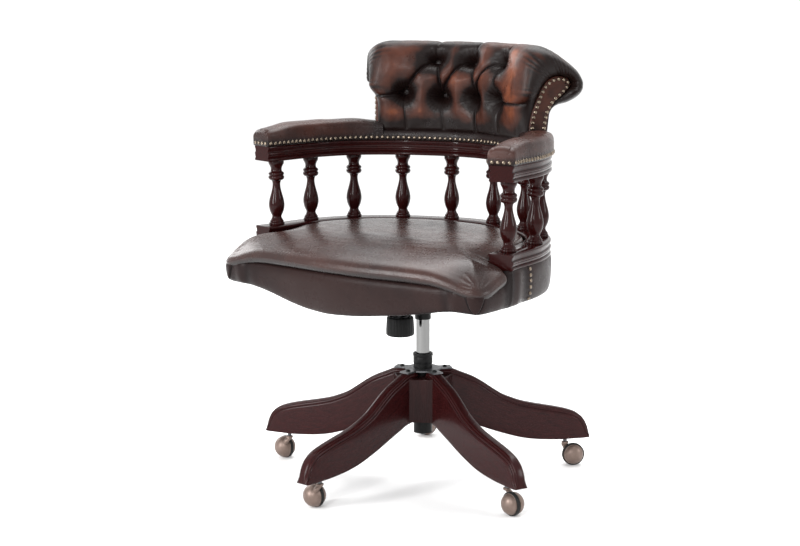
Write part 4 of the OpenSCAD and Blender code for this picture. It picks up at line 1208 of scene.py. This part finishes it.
# ------------------------------------------------------------------ hard pieces that show get a new piece with eased edges
EDGED = {"base_hub": ("wood_hub", 0.0012, 40), "hub_plate": ("steel", 0.0005, 40), "column_tube": ("black_steel", 0.0004, 40),
         "gas_cylinder": ("chrome", 0.0005, 40), "tilt_housing": ("black_steel", 0.0006, 40), "height_lever": ("plastic", 0.0010, 40),
         "tilt_plate": ("black_steel", 0.0006, 40)}
for n, (m, bev, deg) in EDGED.items():
    src = frame["nodes"][n]
    pts = [src.matrix_world @ v.co for v in src.data.vertices]
    o_ = add(n + "_finished", pts, [tuple(q.vertices) for q in src.data.polygons], m, src["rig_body"], [n])
    bm = bmesh.new(); bm.from_mesh(o_.data)
    bmesh.ops.remove_doubles(bm, verts=bm.verts, dist=2e-6)
    bmesh.ops.dissolve_limit(bm, angle_limit=math.radians(0.5), verts=bm.verts, edges=bm.edges)
    bm.to_mesh(o_.data); bm.free()
    sharp(o_, deg)
    b = o_.modifiers.new("edge", "BEVEL")
    b.width, b.segments, b.limit_method, b.angle_limit = bev, 2, "ANGLE", math.radians(deg)
    b.use_clamp_overlap = True

# the tension spring shortens between the housing and the knob as the seat tilts: the knob's face rises 7.6 mm over 10 degrees
src = frame["nodes"]["tension_spring"]
pts = np.array([src.matrix_world @ v.co for v in src.data.vertices])
coil = add("tension_spring_coil", pts, [tuple(q.vertices) for q in src.data.polygons], "steel", src["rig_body"], ["tension_spring"])
sharp(coil, 50)
z_top, z_low = float(pts[:, 2].max()), float(pts[:, 2].min())
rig.squash(coil, "tilt", axis=(0, 0, 1), anchor=(0, -0.074, z_top), keep=max(0.3, 1 - 0.0082 / (z_top - z_low)))

# the seat board sits a little inside the border, so its edge never shows under the leather
src = frame["nodes"]["seat_board"]
pts = np.array([src.matrix_world @ v.co for v in src.data.vertices])
pts[:, 0] *= 0.965
pts[:, 1] = -0.03 + (pts[:, 1] + 0.03) * 0.955
board = add("seat_board_inset", pts, [tuple(q.vertices) for q in src.data.polygons], "ply", src["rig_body"], ["seat_board"])
sharp(board, 40)

# ------------------------------------------------------------------ CAD nodes that stay as they are get their finish
KEEP = {"castor_sockets": "steel", "piston_rod": "steel", "column_clip": "steel", "release_pin": "steel", "tilt_pin": "steel", "lever_pin": "steel",
        "stop_bumper": "rubber", "tension_bolt": "steel", "mech_bolts": "steel", 
        "dust_cover": "cloth", "back_frame": "ply"}
for n, m in KEEP.items():
    o_ = frame["nodes"][n]
    for sl in o_.material_slots:
        sl.material = MAT[m]

# ------------------------------------------------------------------ stage and light
bpy.ops.mesh.primitive_circle_add(vertices=96, radius=14, fill_type="NGON", location=(0, 0, -0.0002))
floor = bpy.context.object
floor.name = "floor"
g = M("floor_paper")
fv = g.coords()
g.link(g.ramp(g.noise(fv, 3, 2.0), [(0.3, (0.895, 0.895, 0.895)), (0.7, (0.91, 0.91, 0.91))]), g.b.inputs["Base Color"])
g.set(Roughness=0.9)
floor.data.materials.append(g.m)
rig.stage(floor)

world = bpy.data.worlds.new("studio") if scene.world is None else scene.world
scene.world = world
world.use_nodes = True
wn = world.node_tree.nodes.get("Background")
wn.inputs[0].default_value = (1.0, 1.0, 1.0, 1)
wn.inputs[1].default_value = 1.12


def area(name, loc, target, size, power, size_y=None):
    li = bpy.data.lights.new(name, "AREA")
    li.energy, li.size = power, size
    if size_y:
        li.shape, li.size_y = "RECTANGLE", size_y
    o_ = bpy.data.objects.new(name, li)
    scene.collection.objects.link(o_)
    o_.location = loc
    v = Vector(target) - Vector(loc)
    o_.rotation_euler = v.to_track_quat("-Z", "Y").to_euler()
    return o_


area("top", (-0.4, 0.9, 3.0), (0, 0, 0.5), 2.4, 95)
area("strip_left", (-1.3, -3.4, 1.5), (0, 0, 0.6), 0.55, 105, 1.8)
area("strip_front", (1.0, -3.6, 2.0), (0, 0, 0.55), 0.42, 62, 1.4)
area("rim_right", (3.2, 1.0, 1.5), (0, 0, 0.5), 0.9, 26)
area("rim_left", (-3.0, 0.6, 1.6), (0, 0, 0.6), 1.2, 26)
scene.view_settings.view_transform = "Standard"
scene.view_settings.look = "None"

VIS_BOX = [list(map(float, c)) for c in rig.bounds()]
with open("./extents.json", "w") as fh:
    json.dump({"cad": CAD_BOX, "visual": VIS_BOX}, fh)
